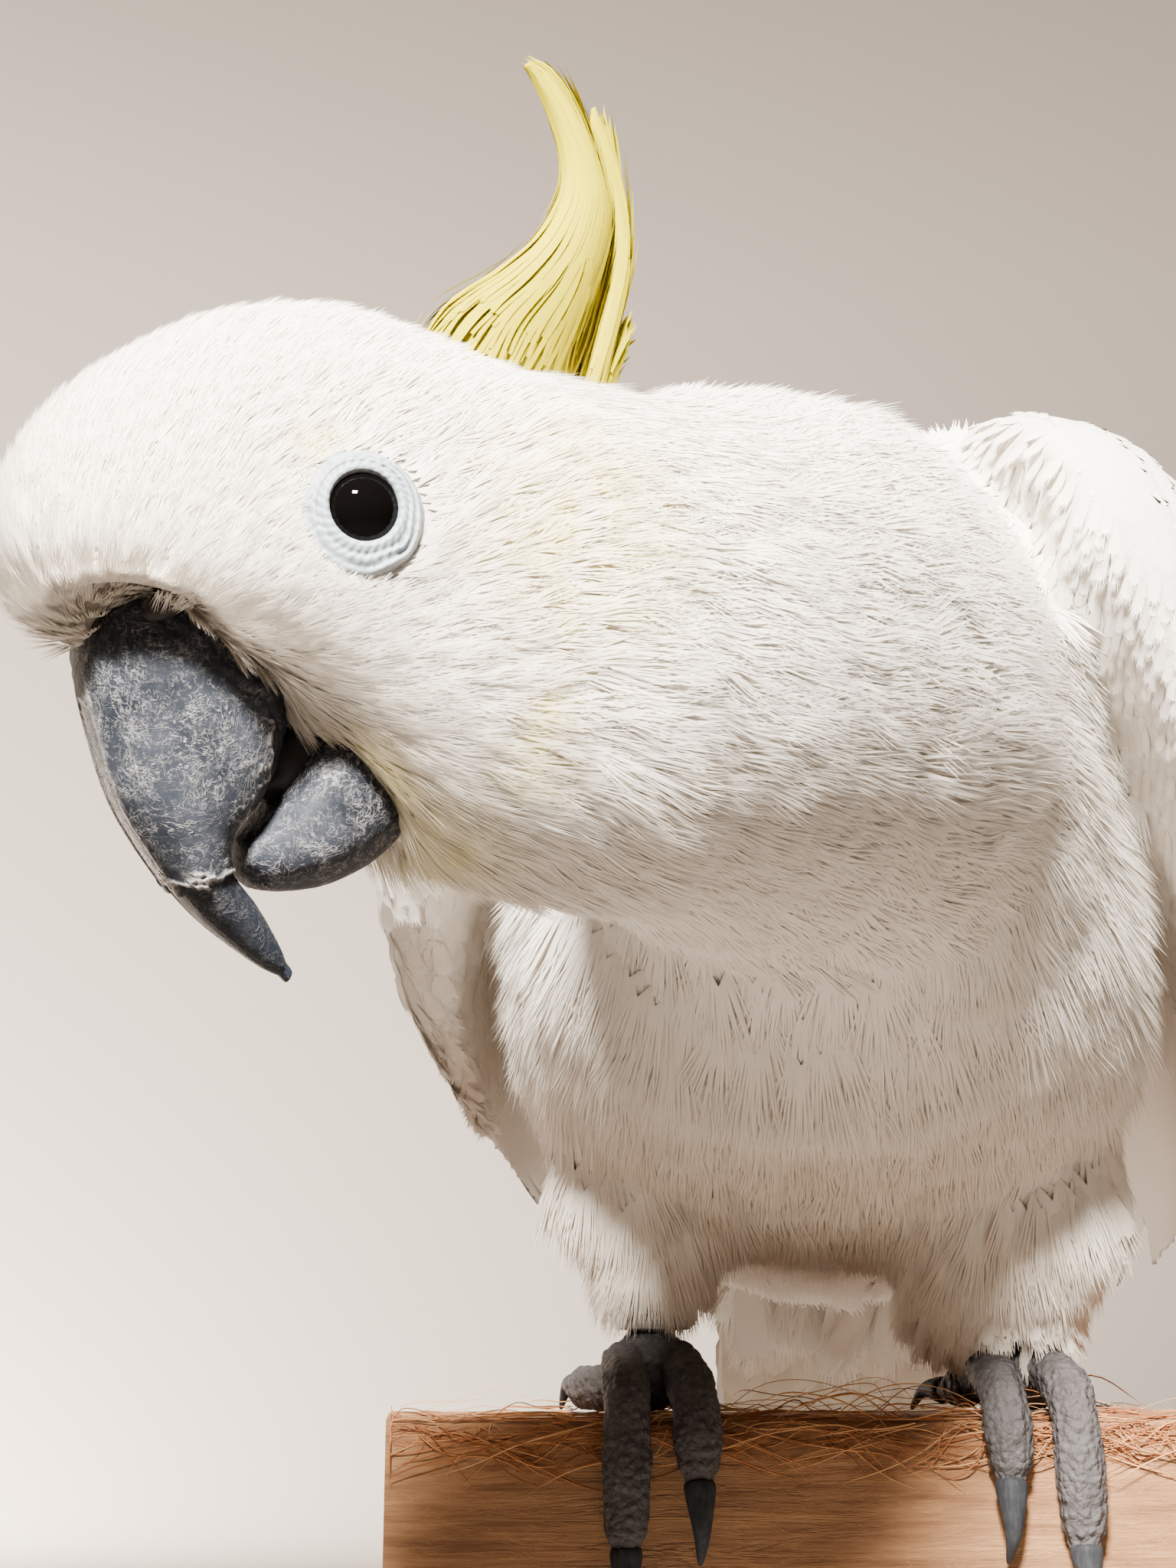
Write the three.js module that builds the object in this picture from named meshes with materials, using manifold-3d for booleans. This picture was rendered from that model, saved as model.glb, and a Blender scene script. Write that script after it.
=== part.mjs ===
// White cockatoo, life size, standing on a short length of squared timber.
// The bird leans forward and turns its head to its right. It faces -Y, +Z is up, and the origin is
// at the middle of the underside of the display stand. All sizes are in millimetres.

import * as THREE from 'three';
import { mergeVertices } from 'three/addons/utils/BufferGeometryUtils.js';
import Module from 'manifold-3d';

const wasm = await Module();
wasm.setup();

// Display stand and perch
const BASE_WIDTH = 210;
const BASE_DEPTH = 240;
const BASE_THICKNESS = 14;
const BASE_CORNER = 16;
const ROD_RADIUS = 6;
const ROD_SPREAD = 56;
const PERCH_LENGTH = 182;
const PERCH_SIDE = 60;
const PERCH_EDGE = 3;
const PERCH_TOP = 135;

// Clearance left between neighbours that touch in life
const GAP = 0.3;
const WIDE_GAP = 0.5;

// Pose: degrees; turn is to the bird's right, pitch is bill down, roll lowers the left side
const HEAD_AT = new THREE.Vector3(-102.7, -212, 109.2);
const HEAD_TURN = 69;
const HEAD_PITCH = 22.4;
const HEAD_ROLL = 11.7;
const TRUNK_AT = new THREE.Vector3(1, 0, 0);
const TRUNK_TURN = 11;

// Head, in its own frame: x forward, y left, z up, from the point midway between the eyes
const EYE_SIDE = 21.3;
const EYE_BALL = 5.4;
const EYE_DEPTH = 3.5;
const EYE_TURN = 14;
const EYE_LIFT = 9;
const LID_INNER = 4.25;
const LID_OUTER = 7.3;
const LID_TALL = 1.08;
const LID_SHIFT = new THREE.Vector3(-0.7, 0, -0.9);

// Bill
const BILL_HALF_WIDTH = 10.2;
const LOWER_HALF_WIDTH = 9.6;

// Legs
const FOOT_RIGHT = new THREE.Vector3(-38.5, -13, 0);
const FOOT_LEFT = new THREE.Vector3(34.5, -13, 0);
const TOE_RADIUS = 4.7;
const SHANK_RADIUS = 4.6;
const RING_INNER = 6.2;
const RING_OUTER = 7.6;
const RING_HEIGHT = 3;

const AROUND = 24;

const white = 0xf1ece2;
const billGrey = 0x55585f;
const footGrey = 0x6a6468;

function material(color, roughness, metalness = 0) {
  return new THREE.MeshStandardMaterial({ color, roughness, metalness });
}

// Closed surface through a row of rings with the same number of points, with a fan at each end
function loft(rings) {
  const n = rings[0].length;
  const positions = [];
  const index = [];
  for (const ring of rings) {
    for (const p of ring) positions.push(p.x, p.y, p.z);
  }
  for (let i = 0; i + 1 < rings.length; i++) {
    for (let j = 0; j < n; j++) {
      const a = i * n + j;
      const b = i * n + ((j + 1) % n);
      index.push(a, b, a + n, b, b + n, a + n);
    }
  }
  const ends = [[0, false], [rings.length - 1, true]];
  for (const [row, last] of ends) {
    const centre = rings[row].reduce((s, p) => s.add(p), new THREE.Vector3()).divideScalar(n);
    const c = positions.length / 3;
    positions.push(centre.x, centre.y, centre.z);
    for (let j = 0; j < n; j++) {
      const a = row * n + j;
      const b = row * n + ((j + 1) % n);
      if (last) index.push(a, b, c);
      else index.push(b, a, c);
    }
  }
  const geometry = new THREE.BufferGeometry();
  geometry.setAttribute('position', new THREE.Float32BufferAttribute(positions, 3));
  geometry.setIndex(index);
  return outward(geometry);
}

function signedVolume(geometry) {
  const p = geometry.attributes.position;
  const ix = geometry.index;
  const a = new THREE.Vector3();
  const b = new THREE.Vector3();
  const c = new THREE.Vector3();
  let sum = 0;
  for (let i = 0; i < ix.count; i += 3) {
    a.fromBufferAttribute(p, ix.getX(i));
    b.fromBufferAttribute(p, ix.getX(i + 1));
    c.fromBufferAttribute(p, ix.getX(i + 2));
    sum += a.dot(b.cross(c)) / 6;
  }
  return sum;
}

function outward(geometry) {
  if (signedVolume(geometry) < 0) {
    const ix = geometry.index;
    for (let i = 0; i < ix.count; i += 3) {
      const keep = ix.getX(i + 1);
      ix.setX(i + 1, ix.getX(i + 2));
      ix.setX(i + 2, keep);
    }
  }
  return geometry;
}

function solid(geometry) {
  const bare = geometry.clone();
  for (const name of Object.keys(bare.attributes)) {
    if (name !== 'position') bare.deleteAttribute(name);
  }
  const merged = mergeVertices(bare, 1e-4);
  return new wasm.Manifold(new wasm.Mesh({
    numProp: 3,
    vertProperties: new Float32Array(merged.attributes.position.array),
    triVerts: new Uint32Array(merged.index.array),
  }));
}

function fromSolid(body) {
  const mesh = body.getMesh();
  const geometry = new THREE.BufferGeometry();
  geometry.setAttribute('position', new THREE.BufferAttribute(mesh.vertProperties.slice(), 3));
  geometry.setIndex(new THREE.BufferAttribute(mesh.triVerts.slice(), 1));
  return geometry;
}

function cut(geometry, ...tools) {
  let body = solid(geometry);
  for (const tool of tools) body = body.subtract(solid(tool));
  return fromSolid(body);
}

function join(...geometries) {
  let body = solid(geometries[0]);
  for (const other of geometries.slice(1)) body = body.add(solid(other));
  return fromSolid(body);
}

// Smooth curve through rows of numbers, one row for each station, read at t from 0 to 1
function through(rows) {
  const width = rows[0].length;
  const curves = [];
  for (let i = 0; i < width; i += 3) {
    const points = rows.map((r) => new THREE.Vector3(r[i], r[i + 1] ?? 0, r[i + 2] ?? 0));
    curves.push(new THREE.CatmullRomCurve3(points, false, 'catmullrom', 0.5));
  }
  return (t) => curves.flatMap((c) => c.getPoint(t).toArray()).slice(0, width);
}

function power(value, exponent) {
  return Math.sign(value) * Math.abs(value) ** (2 / exponent);
}

// Frame with x forward, y to the bird's left and z up
function frame(at, turn, pitch = 0, roll = 0) {
  const h = THREE.MathUtils.degToRad(turn);
  const p = THREE.MathUtils.degToRad(pitch);
  const r = THREE.MathUtils.degToRad(roll);
  const forward = new THREE.Vector3(-Math.sin(h) * Math.cos(p), -Math.cos(h) * Math.cos(p), -Math.sin(p));
  const side = new THREE.Vector3(Math.cos(h), -Math.sin(h), 0);
  const above = forward.clone().cross(side);
  const left = side.multiplyScalar(Math.cos(r)).addScaledVector(above, -Math.sin(r));
  const up = forward.clone().cross(left);
  return new THREE.Matrix4().makeBasis(forward, left, up).setPosition(at);
}

function groupAt(matrix) {
  const group = new THREE.Group();
  matrix.decompose(group.position, group.quaternion, group.scale);
  return group;
}

const headFrame = frame(HEAD_AT, HEAD_TURN, HEAD_PITCH, HEAD_ROLL);
const trunkFrame = frame(TRUNK_AT, TRUNK_TURN);

const bird = new THREE.Group();
bird.position.z = PERCH_TOP;
const headGroup = groupAt(headFrame);
const trunkGroup = groupAt(trunkFrame);
bird.add(headGroup, trunkGroup);

const root = new THREE.Group();
root.add(bird);

function add(parent, name, geometry, look) {
  geometry.computeVertexNormals();
  const mesh = new THREE.Mesh(geometry, look);
  mesh.name = name;
  parent.add(mesh);
  return mesh;
}

// ---------------------------------------------------------------- head, neck and trunk
// One outline runs from the forehead to the rump and is parted with thin cuts.
// A station is x, height of the widest level, rise above it, drop below it, half width, squareness.
const HEAD_STATIONS = [
  [35.6, 3, 1.5, 2, 2, 2],
  [34.4, 2.5, 8.5, 6.5, 7.8, 2],
  [31, 1.5, 14.5, 8.5, 11.8, 2.1],
  [25, -1, 22, 8.5, 15.2, 2.2],
  [16, -4, 28.8, 9, 18, 2.2],
  [8, -8, 35, 13.5, 20, 2.2],
  [0, -13, 40.5, 25.5, 21.4, 2.2],
  [-9, -17, 43.3, 31, 24.6, 2.2],
  [-21, -21, 41, 34, 28.4, 2.2],
  [-34, -24, 35, 35, 31.5, 2.2],
];
const TRUNK_STATIONS = [
  [118, 114, 57, 43, 41, 2.1],
  [95, 106, 71, 48, 49, 2.1],
  [60, 91, 78, 46, 61, 2.1],
  [20, 78, 71, 43, 65, 2.2],
  [-20, 67, 59, 36, 61, 2.2],
  [-55, 55, 45, 28, 48, 2.2],
  [-85, 44, 30, 17, 35, 2.1],
  [-106, 36, 14, 8, 28, 2],
];

function station(matrix, [x, level, rise, drop, half, square]) {
  const at = new THREE.Vector3(x, 0, level).applyMatrix4(matrix);
  const turn = new THREE.Quaternion().setFromRotationMatrix(matrix);
  return { at, turn, size: [rise, drop, half], square };
}

const fleshStations = [
  ...HEAD_STATIONS.map((row) => station(headFrame, row)),
  ...TRUNK_STATIONS.map((row) => station(trunkFrame, row)),
];
const NECK_FROM = HEAD_STATIONS.length - 1;
const NECK_TO = HEAD_STATIONS.length;
const LAST = fleshStations.length - 1;
const fleshPath = through(fleshStations.map((s) => s.at.toArray()));
const fleshSize = through(fleshStations.map((s) => s.size));

// Ring at station number s, which need not be whole; grow makes every radius larger
function fleshRing(s, grow = 0) {
  const i = Math.min(Math.floor(s), LAST - 1);
  const f = s - i;
  const a = fleshStations[i];
  const b = fleshStations[i + 1];
  const turn = a.turn.clone().slerp(b.turn, f);
  const at = new THREE.Vector3(...fleshPath(s / LAST));
  const [rise, drop, half] = fleshSize(s / LAST).map((v) => v + grow);
  const square = a.square + (b.square - a.square) * f;
  const ring = [];
  for (let k = 0; k < AROUND; k++) {
    const angle = (k / AROUND) * Math.PI * 2;
    const y = half * power(Math.cos(angle), square);
    const z = (Math.sin(angle) > 0 ? rise : drop) * power(Math.sin(angle), square);
    ring.push(new THREE.Vector3(0, y, z).applyQuaternion(turn).add(at));
  }
  return ring;
}

function flesh(from, to, steps, grow = 0) {
  const rings = [];
  for (let i = 0; i <= steps; i++) rings.push(fleshRing(from + ((to - from) * i) / steps, grow));
  return rings;
}

function local(geometry, matrix) {
  return geometry.clone().applyMatrix4(matrix.clone().invert());
}

const CUT = 0.012;
const feathers = material(white, 0.85);
const headSolid = local(loft(flesh(0, NECK_FROM + 0.2 - CUT, 12)), headFrame);
const headGrown = local(loft(flesh(0, NECK_FROM + 0.2 - CUT, 12, WIDE_GAP)), headFrame);
const neckSolid = loft(flesh(NECK_FROM + 0.2, NECK_TO - 0.05, 5));
const trunkRings = flesh(NECK_TO - 0.045, LAST - 0.02, 12);
const trunkSolid = local(loft(trunkRings), trunkFrame);
const trunkGrown = local(loft(flesh(NECK_TO - 0.045, LAST - 0.02, 12, WIDE_GAP)), trunkFrame);
const neckGrown = loft(flesh(NECK_FROM + 0.2 - CUT, NECK_TO - 0.045, 5, WIDE_GAP));

// ---------------------------------------------------------------- bill
// Both halves are lofts of narrow sections set along the curve from the face to the point.
// Upper half: x and z of the ridge, x and z of the cutting edge, half width.
const UPPER_BILL = [
  [20, 1, 2, -14, 0.86],
  [26.5, -3, 6.5, -17, 0.98],
  [30.6, -9.5, 9.4, -21, 1],
  [31.9, -17, 11.2, -25.3, 0.97],
  [31.6, -25, 14.5, -29.3, 0.88],
  [29.4, -33, 19.5, -32.5, 0.7],
  [26.4, -40, 21.6, -36.5, 0.5],
  [22.6, -45.5, 20.2, -42, 0.32],
  [19.6, -49.3, 18.4, -47, 0.18],
  [17, -51.4, 17.2, -50.9, 0.06],
];
const upperBillAt = through(UPPER_BILL);

function billRing(at, t, halfWidth, grow, ridge) {
  const [xa, za, xb, zb, w] = at(t);
  const outer = new THREE.Vector3(xa, 0, za);
  const inner = new THREE.Vector3(xb, 0, zb);
  const middle = outer.clone().add(inner).multiplyScalar(0.5);
  const reach = outer.clone().sub(inner).multiplyScalar(0.5);
  const length = reach.length() + grow;
  reach.normalize();
  const ring = [];
  const sides = 12;
  for (let k = 0; k < sides; k++) {
    const angle = (k / sides) * Math.PI * 2;
    const c = power(Math.cos(angle), Math.cos(angle) > 0 ? ridge : 2.6);
    const s = power(Math.sin(angle), 2.3);
    const p = middle.clone().addScaledVector(reach, c * length);
    p.y = s * (w * halfWidth + grow);
    ring.push(p);
  }
  return ring;
}

function bill(at, halfWidth, steps, grow = 0, ridge = 2) {
  const rings = [];
  for (let i = 0; i <= steps; i++) rings.push(billRing(at, i / steps, halfWidth, grow, ridge));
  return loft(rings);
}

// Lower half: x and z of the front face, x and z of the cutting edge, half width
const LOWER_BILL = [
  [-9, -32, -5, -14, 0.8],
  [-3, -37.5, 1, -17.5, 0.95],
  [3, -40.6, 5.5, -21.5, 1],
  [9, -41.6, 9.2, -25.6, 0.98],
  [14, -41, 12.4, -29.3, 0.88],
  [17.6, -39.6, 15.6, -31.7, 0.72],
  [19.6, -37, 18.6, -33.2, 0.5],
];
const lowerBillAt = through(LOWER_BILL);

const upperBill = bill(upperBillAt, BILL_HALF_WIDTH, 13);
const lowerWhole = bill(lowerBillAt, LOWER_HALF_WIDTH, 8, 0, 2.4);
const lowerBill = cut(lowerWhole, bill(upperBillAt, BILL_HALF_WIDTH, 13, GAP));

// ---------------------------------------------------------------- eyes and their bare rings
function eyeFrame(side) {
  const turn = THREE.MathUtils.degToRad(90 - EYE_TURN) * side;
  return new THREE.Matrix4()
    .makeRotationZ(turn)
    .multiply(new THREE.Matrix4().makeRotationY(-THREE.MathUtils.degToRad(EYE_LIFT)))
    .setPosition(0, EYE_SIDE * side, 0);
}

// The lid is turned about its own x axis, which points out of the head
function lidGeometry(side, grow = 0) {
  const profile = [
    [LID_INNER - grow, -3.4 - grow],
    [LID_OUTER + grow, -3.4 - grow],
    [LID_OUTER + grow, -0.9],
    [(LID_INNER + LID_OUTER) / 2 + 0.6, 0.7 + grow],
    [LID_INNER, 1 + grow],
    [LID_INNER - grow, -3.4 - grow],
  ].map(([r, h]) => new THREE.Vector2(r, h));
  const lathe = new THREE.LatheGeometry(profile, 14);
  lathe.rotateZ(-Math.PI / 2);
  lathe.scale(1, 0.96, LID_TALL);
  lathe.translate(0, LID_SHIFT.x * side, LID_SHIFT.z);
  return outward(tidy(lathe)).applyMatrix4(eyeFrame(side));
}

function tidy(geometry) {
  const bare = geometry.clone();
  bare.deleteAttribute('normal');
  bare.deleteAttribute('uv');
  return mergeVertices(bare, 1e-4);
}

// Seat cut in the head for the lid and the ball together
function eyeSeat(side) {
  const profile = [
    [0, -EYE_DEPTH - EYE_BALL - GAP],
    [EYE_BALL + 1.4, -EYE_DEPTH - EYE_BALL - GAP],
    [EYE_BALL + 1.4, -3.4 - GAP],
    [LID_OUTER + WIDE_GAP, -3.4 - GAP],
    [LID_OUTER + WIDE_GAP, 6],
    [0, 6],
  ].map(([r, h]) => new THREE.Vector2(r, h));
  const lathe = new THREE.LatheGeometry(profile, 14);
  lathe.rotateZ(-Math.PI / 2);
  lathe.scale(1, 0.96, LID_TALL);
  lathe.translate(0, LID_SHIFT.x * side, LID_SHIFT.z);
  return outward(tidy(lathe)).applyMatrix4(eyeFrame(side));
}

function eyeball(side, grow = 0) {
  const ball = new THREE.SphereGeometry(EYE_BALL + grow, 14, 9);
  const at = new THREE.Vector3(-EYE_DEPTH, 0, 0).applyMatrix4(eyeFrame(side));
  ball.translate(at.x, at.y, at.z);
  return outward(tidy(ball));
}

// ---------------------------------------------------------------- crest
// Recurved plumes that spring from the back of the crown, sweep back and curl up and forward.
// A row is x, y, z, half width in the plane of the crest, half thickness.
const CREST_PLUMES = [
  [[-28, 0, 8, 12, 5], [-36, 0, 15.5, 10.5, 5], [-44, 0, 23.5, 7.6, 4], [-50.5, 0, 30.5, 5, 3],
    [-53.6, 0, 38, 4, 2.2], [-52.8, 0, 45.5, 2.6, 1.4], [-49, 0, 52.2, 0.5, 0.4]],
  [[-36, 2, 10, 6, 3], [-44, 3, 17.5, 5, 3], [-50.6, 3.2, 25, 4, 2.4], [-54.2, 3, 33, 3, 1.8],
    [-55.2, 2.6, 39, 2, 1.2], [-54.6, 2.2, 44.5, 0.5, 0.4]],
  [[-36, -2, 10, 6, 3], [-44, -3, 17.5, 5, 3], [-50, -3.2, 24, 4, 2.4], [-53.6, -3, 31, 3, 1.8],
    [-54.6, -2.6, 36.6, 2, 1.2], [-53, -2.2, 42, 0.5, 0.4]],
  [[-38, 1, 6, 6, 4], [-44, 1, 11, 5.5, 3.4], [-50, 1, 14.5, 3.4, 2], [-54.5, 1, 20, 0.5, 0.4]],
];

function plume(rows, steps) {
  const at = through(rows);
  const rings = [];
  for (let i = 0; i <= steps; i++) {
    const t = i / steps;
    const [x, y, z, wide, thick] = at(t);
    const ahead = at(Math.min(t + 0.02, 1));
    const behind = at(Math.max(t - 0.02, 0));
    const along = new THREE.Vector3(ahead[0] - behind[0], 0, ahead[2] - behind[2]).normalize();
    const across = new THREE.Vector3(-along.z, 0, along.x);
    const ring = [];
    for (let k = 0; k < 8; k++) {
      const angle = (k / 8) * Math.PI * 2;
      const p = new THREE.Vector3(x, y, z);
      p.addScaledVector(across, Math.cos(angle) * wide);
      p.y += Math.sin(angle) * thick;
      ring.push(p);
    }
    rings.push(ring);
  }
  return loft(rings);
}

const crestWhole = join(...CREST_PLUMES.map((rows) => plume(rows, rows.length + 1)));
const crest = cut(crestWhole, headGrown, local(neckGrown, headFrame));

const headCuts = [bill(upperBillAt, BILL_HALF_WIDTH, 13, GAP), bill(lowerBillAt, LOWER_HALF_WIDTH, 8, GAP, 2.4)];
for (const side of [1, -1]) headCuts.push(eyeSeat(side));
add(headGroup, 'head', cut(headSolid, ...headCuts), feathers);
add(headGroup, 'bill_upper', upperBill, material(billGrey, 0.6));
add(headGroup, 'bill_lower', lowerBill, material(billGrey, 0.6));
add(headGroup, 'crest', crest, material(0xf2e36b, 0.8));
for (const [side, word] of [[1, 'left'], [-1, 'right']]) {
  add(headGroup, `eye_${word}`, eyeball(side), material(0x0a0808, 0.08));
  add(headGroup, `eye_ring_${word}`, cut(lidGeometry(side), eyeball(side, GAP)), material(0xcfd9e2, 0.7));
}
add(bird, 'neck', neckSolid, feathers);
add(trunkGroup, 'trunk', trunkSolid, feathers);

// ---------------------------------------------------------------- wings
// Each wing is a curved shell over the side of the trunk, from the bend back to the primaries.
// A row is x, side of the upper edge, height of it, side of the lower edge, height of it, thickness.
const WING = [
  [127, 43, 158, 53, 146, 7],
  [120, 36, 169, 66, 131, 24],
  [99, 25, 175, 80, 106, 34],
  [60, 13, 168, 84, 84, 30],
  [20, 8, 153, 84, 73, 21],
  [-25, 7, 131, 82, 63, 13],
  [-70, 9, 106, 79, 54, 8],
  [-110, 17, 80, 76, 46, 5],
  [-140, 38, 60, 72, 40, 3],
  [-150, 52, 47, 68, 37, 1.6],
];
const wingAt = through(WING);
// The left wing hangs a little lower and wider behind than the right
const WING_DROOP = { left: 13, right: 0 };
const WING_SPREAD = { left: 7, right: 0 };

function wingRing(t, side) {
  const [x, ya, za, low, level, thick] = wingAt(t);
  const word = side > 0 ? 'left' : 'right';
  const back = THREE.MathUtils.smoothstep(-x, -70, 20);
  const yb = low + back * WING_SPREAD[word];
  const zb = level - back * WING_DROOP[word];
  const outer = [];
  const inner = [];
  const steps = 7;
  for (let k = 0; k <= steps; k++) {
    const angle = (k / steps) * (Math.PI / 2);
    const y = ya + (yb - ya) * power(Math.sin(angle), 2.5);
    const z = zb + (za - zb) * power(Math.cos(angle), 2.5);
    const deep = 0.9 + (thick - 0.9) * Math.sin((Math.PI * (k + 0.35)) / (steps + 0.9)) ** 0.7;
    const normal = new THREE.Vector2(Math.sin(angle) + 0.15, Math.cos(angle) + 0.15).normalize();
    outer.push(new THREE.Vector3(x, side * y, z));
    inner.push(new THREE.Vector3(x, side * (y - normal.x * deep), z - normal.y * deep));
  }
  return [...outer, ...inner.reverse()];
}

function wing(side) {
  const rings = [];
  for (let i = 0; i <= 14; i++) rings.push(wingRing(i / 14, side));
  return cut(loft(rings), trunkGrown, local(neckGrown, trunkFrame));
}

for (const [side, word] of [[1, 'left'], [-1, 'right']]) {
  add(trunkGroup, `wing_${word}`, wing(side), feathers);
}

// ---------------------------------------------------------------- tail
// A broad flat fan of long feathers that runs back and down from the rump.
// A row is x, z, half width, half thickness.
const TAIL = [
  [-98, 40, 30, 9],
  [-122, 24, 33, 7],
  [-155, 4, 35, 5],
  [-190, -17, 38, 3.4],
  [-220, -34, 39, 2.2],
  [-236, -43, 34, 1.4],
  [-242, -46.5, 22, 0.8],
];

function tail() {
  const at = through(TAIL);
  const rings = [];
  for (let i = 0; i <= 10; i++) {
    const [x, z, half, thick] = at(i / 10);
    const ring = [];
    for (let k = 0; k < 14; k++) {
      const angle = (k / 14) * Math.PI * 2;
      const lift = power(Math.sin(angle), 2.4) * thick - 0.004 * (half * Math.cos(angle)) ** 2;
      ring.push(new THREE.Vector3(x + lift * 0.5, half * power(Math.cos(angle), 2.4), z + lift * 0.86));
    }
    rings.push(ring);
  }
  return cut(loft(rings), trunkGrown);
}

add(trunkGroup, 'tail', tail(), feathers);

// ---------------------------------------------------------------- legs
// A round limb along a curve; a row is x, y, z, radius
function limb(rows, steps, sides, grow = 0, swell = 0) {
  const at = through(rows);
  const rings = [];
  let across = new THREE.Vector3(1, 0, 0);
  for (let i = 0; i <= steps; i++) {
    const t = i / steps;
    const [x, y, z, radius] = at(t);
    const ahead = new THREE.Vector3(...at(Math.min(t + 0.01, 1)).slice(0, 3));
    const behind = new THREE.Vector3(...at(Math.max(t - 0.01, 0)).slice(0, 3));
    const along = ahead.sub(behind).normalize();
    across.addScaledVector(along, -across.dot(along)).normalize();
    const other = along.clone().cross(across);
    const r = radius * (1 + swell * Math.cos(t * Math.PI * 6)) + grow;
    const ring = [];
    for (let k = 0; k < sides; k++) {
      const angle = ((k + 0.5) / sides) * Math.PI * 2;
      const p = new THREE.Vector3(x, y, z);
      p.addScaledVector(across, Math.cos(angle) * r);
      p.addScaledVector(other, Math.sin(angle) * r);
      ring.push(p);
    }
    rings.push(ring);
    across = across.clone();
  }
  return loft(rings);
}

const front = -PERCH_SIDE / 2;
const footSkin = material(footGrey, 0.8);
const clawHorn = material(0x4c4a4d, 0.5);

// Toes 2 and 3 hang forward over the edge of the perch, 1 and 4 lie back and outward on its top.
// out is +1 on the bird's left foot and -1 on its right foot.
function toePaths(foot, out) {
  const r = TOE_RADIUS;
  const rest = r * 1.05 + GAP;
  const inner = foot.x - out * 5.3;
  const outer = foot.x + out * 5.5;
  return {
    2: [[inner, foot.y - 2, 10.5, r], [inner - out * 0.6, front + 6, 8, r], [inner - out, front - 2.6, 4, r],
      [inner - out * 1.2, front - rest, -4.5, r], [inner - out * 1.4, front - rest + 0.1, -13, r * 0.9]],
    3: [[outer, foot.y - 2, 10.5, r], [outer + out * 0.8, front + 6, 8.2, r], [outer + out * 1.2, front - 2.4, 4.6, r],
      [outer + out * 1.5, front - rest, -5, r], [outer + out * 1.7, front - rest - 0.2, -15, r],
      [outer + out * 1.8, front - rest + 0.3, -25, r * 0.9]],
    1: [[foot.x - out * 4.4, foot.y + 5, 7, r * 0.9], [foot.x - out * 8, foot.y + 10.5, rest, r * 0.88],
      [foot.x - out * 10.5, foot.y + 15.5, r * 0.86 + GAP, r * 0.8]],
    4: [[foot.x + out * 4.6, foot.y + 6, 7, r], [foot.x + out * 8.4, foot.y + 13, rest + 0.4, r],
      [foot.x + out * 11, foot.y + 22, rest + 0.2, r * 0.95], [foot.x + out * 12.6, foot.y + 30, r * 0.9 + GAP, r * 0.86]],
  };
}

// A claw goes on from the end of its toe and curves inward to a point
function clawRows(rows, length, bend) {
  const end = new THREE.Vector3(...rows.at(-1).slice(0, 3));
  const before = new THREE.Vector3(...rows.at(-2).slice(0, 3));
  const along = end.clone().sub(before).normalize();
  const radius = rows.at(-1)[3];
  const out = [];
  for (let i = 0; i <= 4; i++) {
    const t = i / 4;
    const p = end.clone().addScaledVector(along, 0.9 + length * t);
    p.addScaledVector(bend, length * (0.34 * t * t * (1 - t) * 3 - 0.2 * t ** 3));
    out.push([p.x, p.y, p.z, Math.max(radius * 0.78 * (1 - t * 0.86), 0.5)]);
  }
  return out;
}

const outFront = new THREE.Vector3(0, -1, 0);
const outTop = new THREE.Vector3(0, 0, 1);
const SHANKS = { left: 12, right: 21 };
const BOOTS = { left: [13, 17.5, 21.5, 27], right: [8.6, 11.5, 17, 25] };

for (const [foot, out, word] of [[FOOT_LEFT, 1, 'left'], [FOOT_RIGHT, -1, 'right']]) {
  const paths = toePaths(foot, out);
  const grown = [];
  for (const digit of [1, 2, 3, 4]) {
    const rows = paths[digit];
    const steps = rows.length * 2;
    add(bird, `toe_${digit}_${word}`, limb(rows, steps, 8, 0, 0.05), footSkin);
    grown.push(limb(rows, steps, 8, GAP, 0.05));
    const claw = clawRows(rows, digit === 1 ? 9 : 12.5, digit === 2 || digit === 3 ? outFront : outTop);
    add(bird, `claw_${digit}_${word}`, limb(claw, 4, 6), clawHorn);
  }
  const ankle = SHANKS[word];
  const sole = [[foot.x, foot.y - 7, 8, 3], [foot.x, foot.y - 4, 9, 7], [foot.x, foot.y + 2, 9.4, 8.4],
    [foot.x, foot.y + 8, 8.2, 6.8], [foot.x, foot.y + 11, 7.6, 3]];
  const shank = [[foot.x, foot.y + 2, 7, SHANK_RADIUS + 1.6], [foot.x, foot.y + 2.4, 12, SHANK_RADIUS + 0.4],
    [foot.x - out * 0.6, foot.y + 3, ankle, SHANK_RADIUS]];
  const base = join(limb(sole, 5, 12), limb(shank, 4, 12));
  add(bird, `foot_${word}`, cut(base, ...grown), footSkin);
  const hip = new THREE.Vector3(8, 34 * out, 70).applyMatrix4(trunkFrame);
  const boot = BOOTS[word];
  const thigh = [[foot.x - out * 0.6, foot.y + 3, ankle + GAP, boot[0]], [foot.x - out * 0.6, foot.y + 3.4, ankle + 6, boot[1]],
    [foot.x - out * 2, foot.y + 5, ankle + 17, boot[2]], [foot.x * 0.6 + hip.x * 0.4, foot.y * 0.5 + hip.y * 0.5, 50, boot[3]],
    [hip.x, hip.y, hip.z, boot[3]]];
  const whole = local(limb(thigh, 7, 14), trunkFrame);
  const nearby = [limb(sole, 5, 12, GAP), limb(shank, 4, 12, GAP), ...grown].map((g) => local(g, trunkFrame));
  add(trunkGroup, `thigh_${word}`, cut(whole, trunkGrown, ...nearby), feathers);
}

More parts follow.
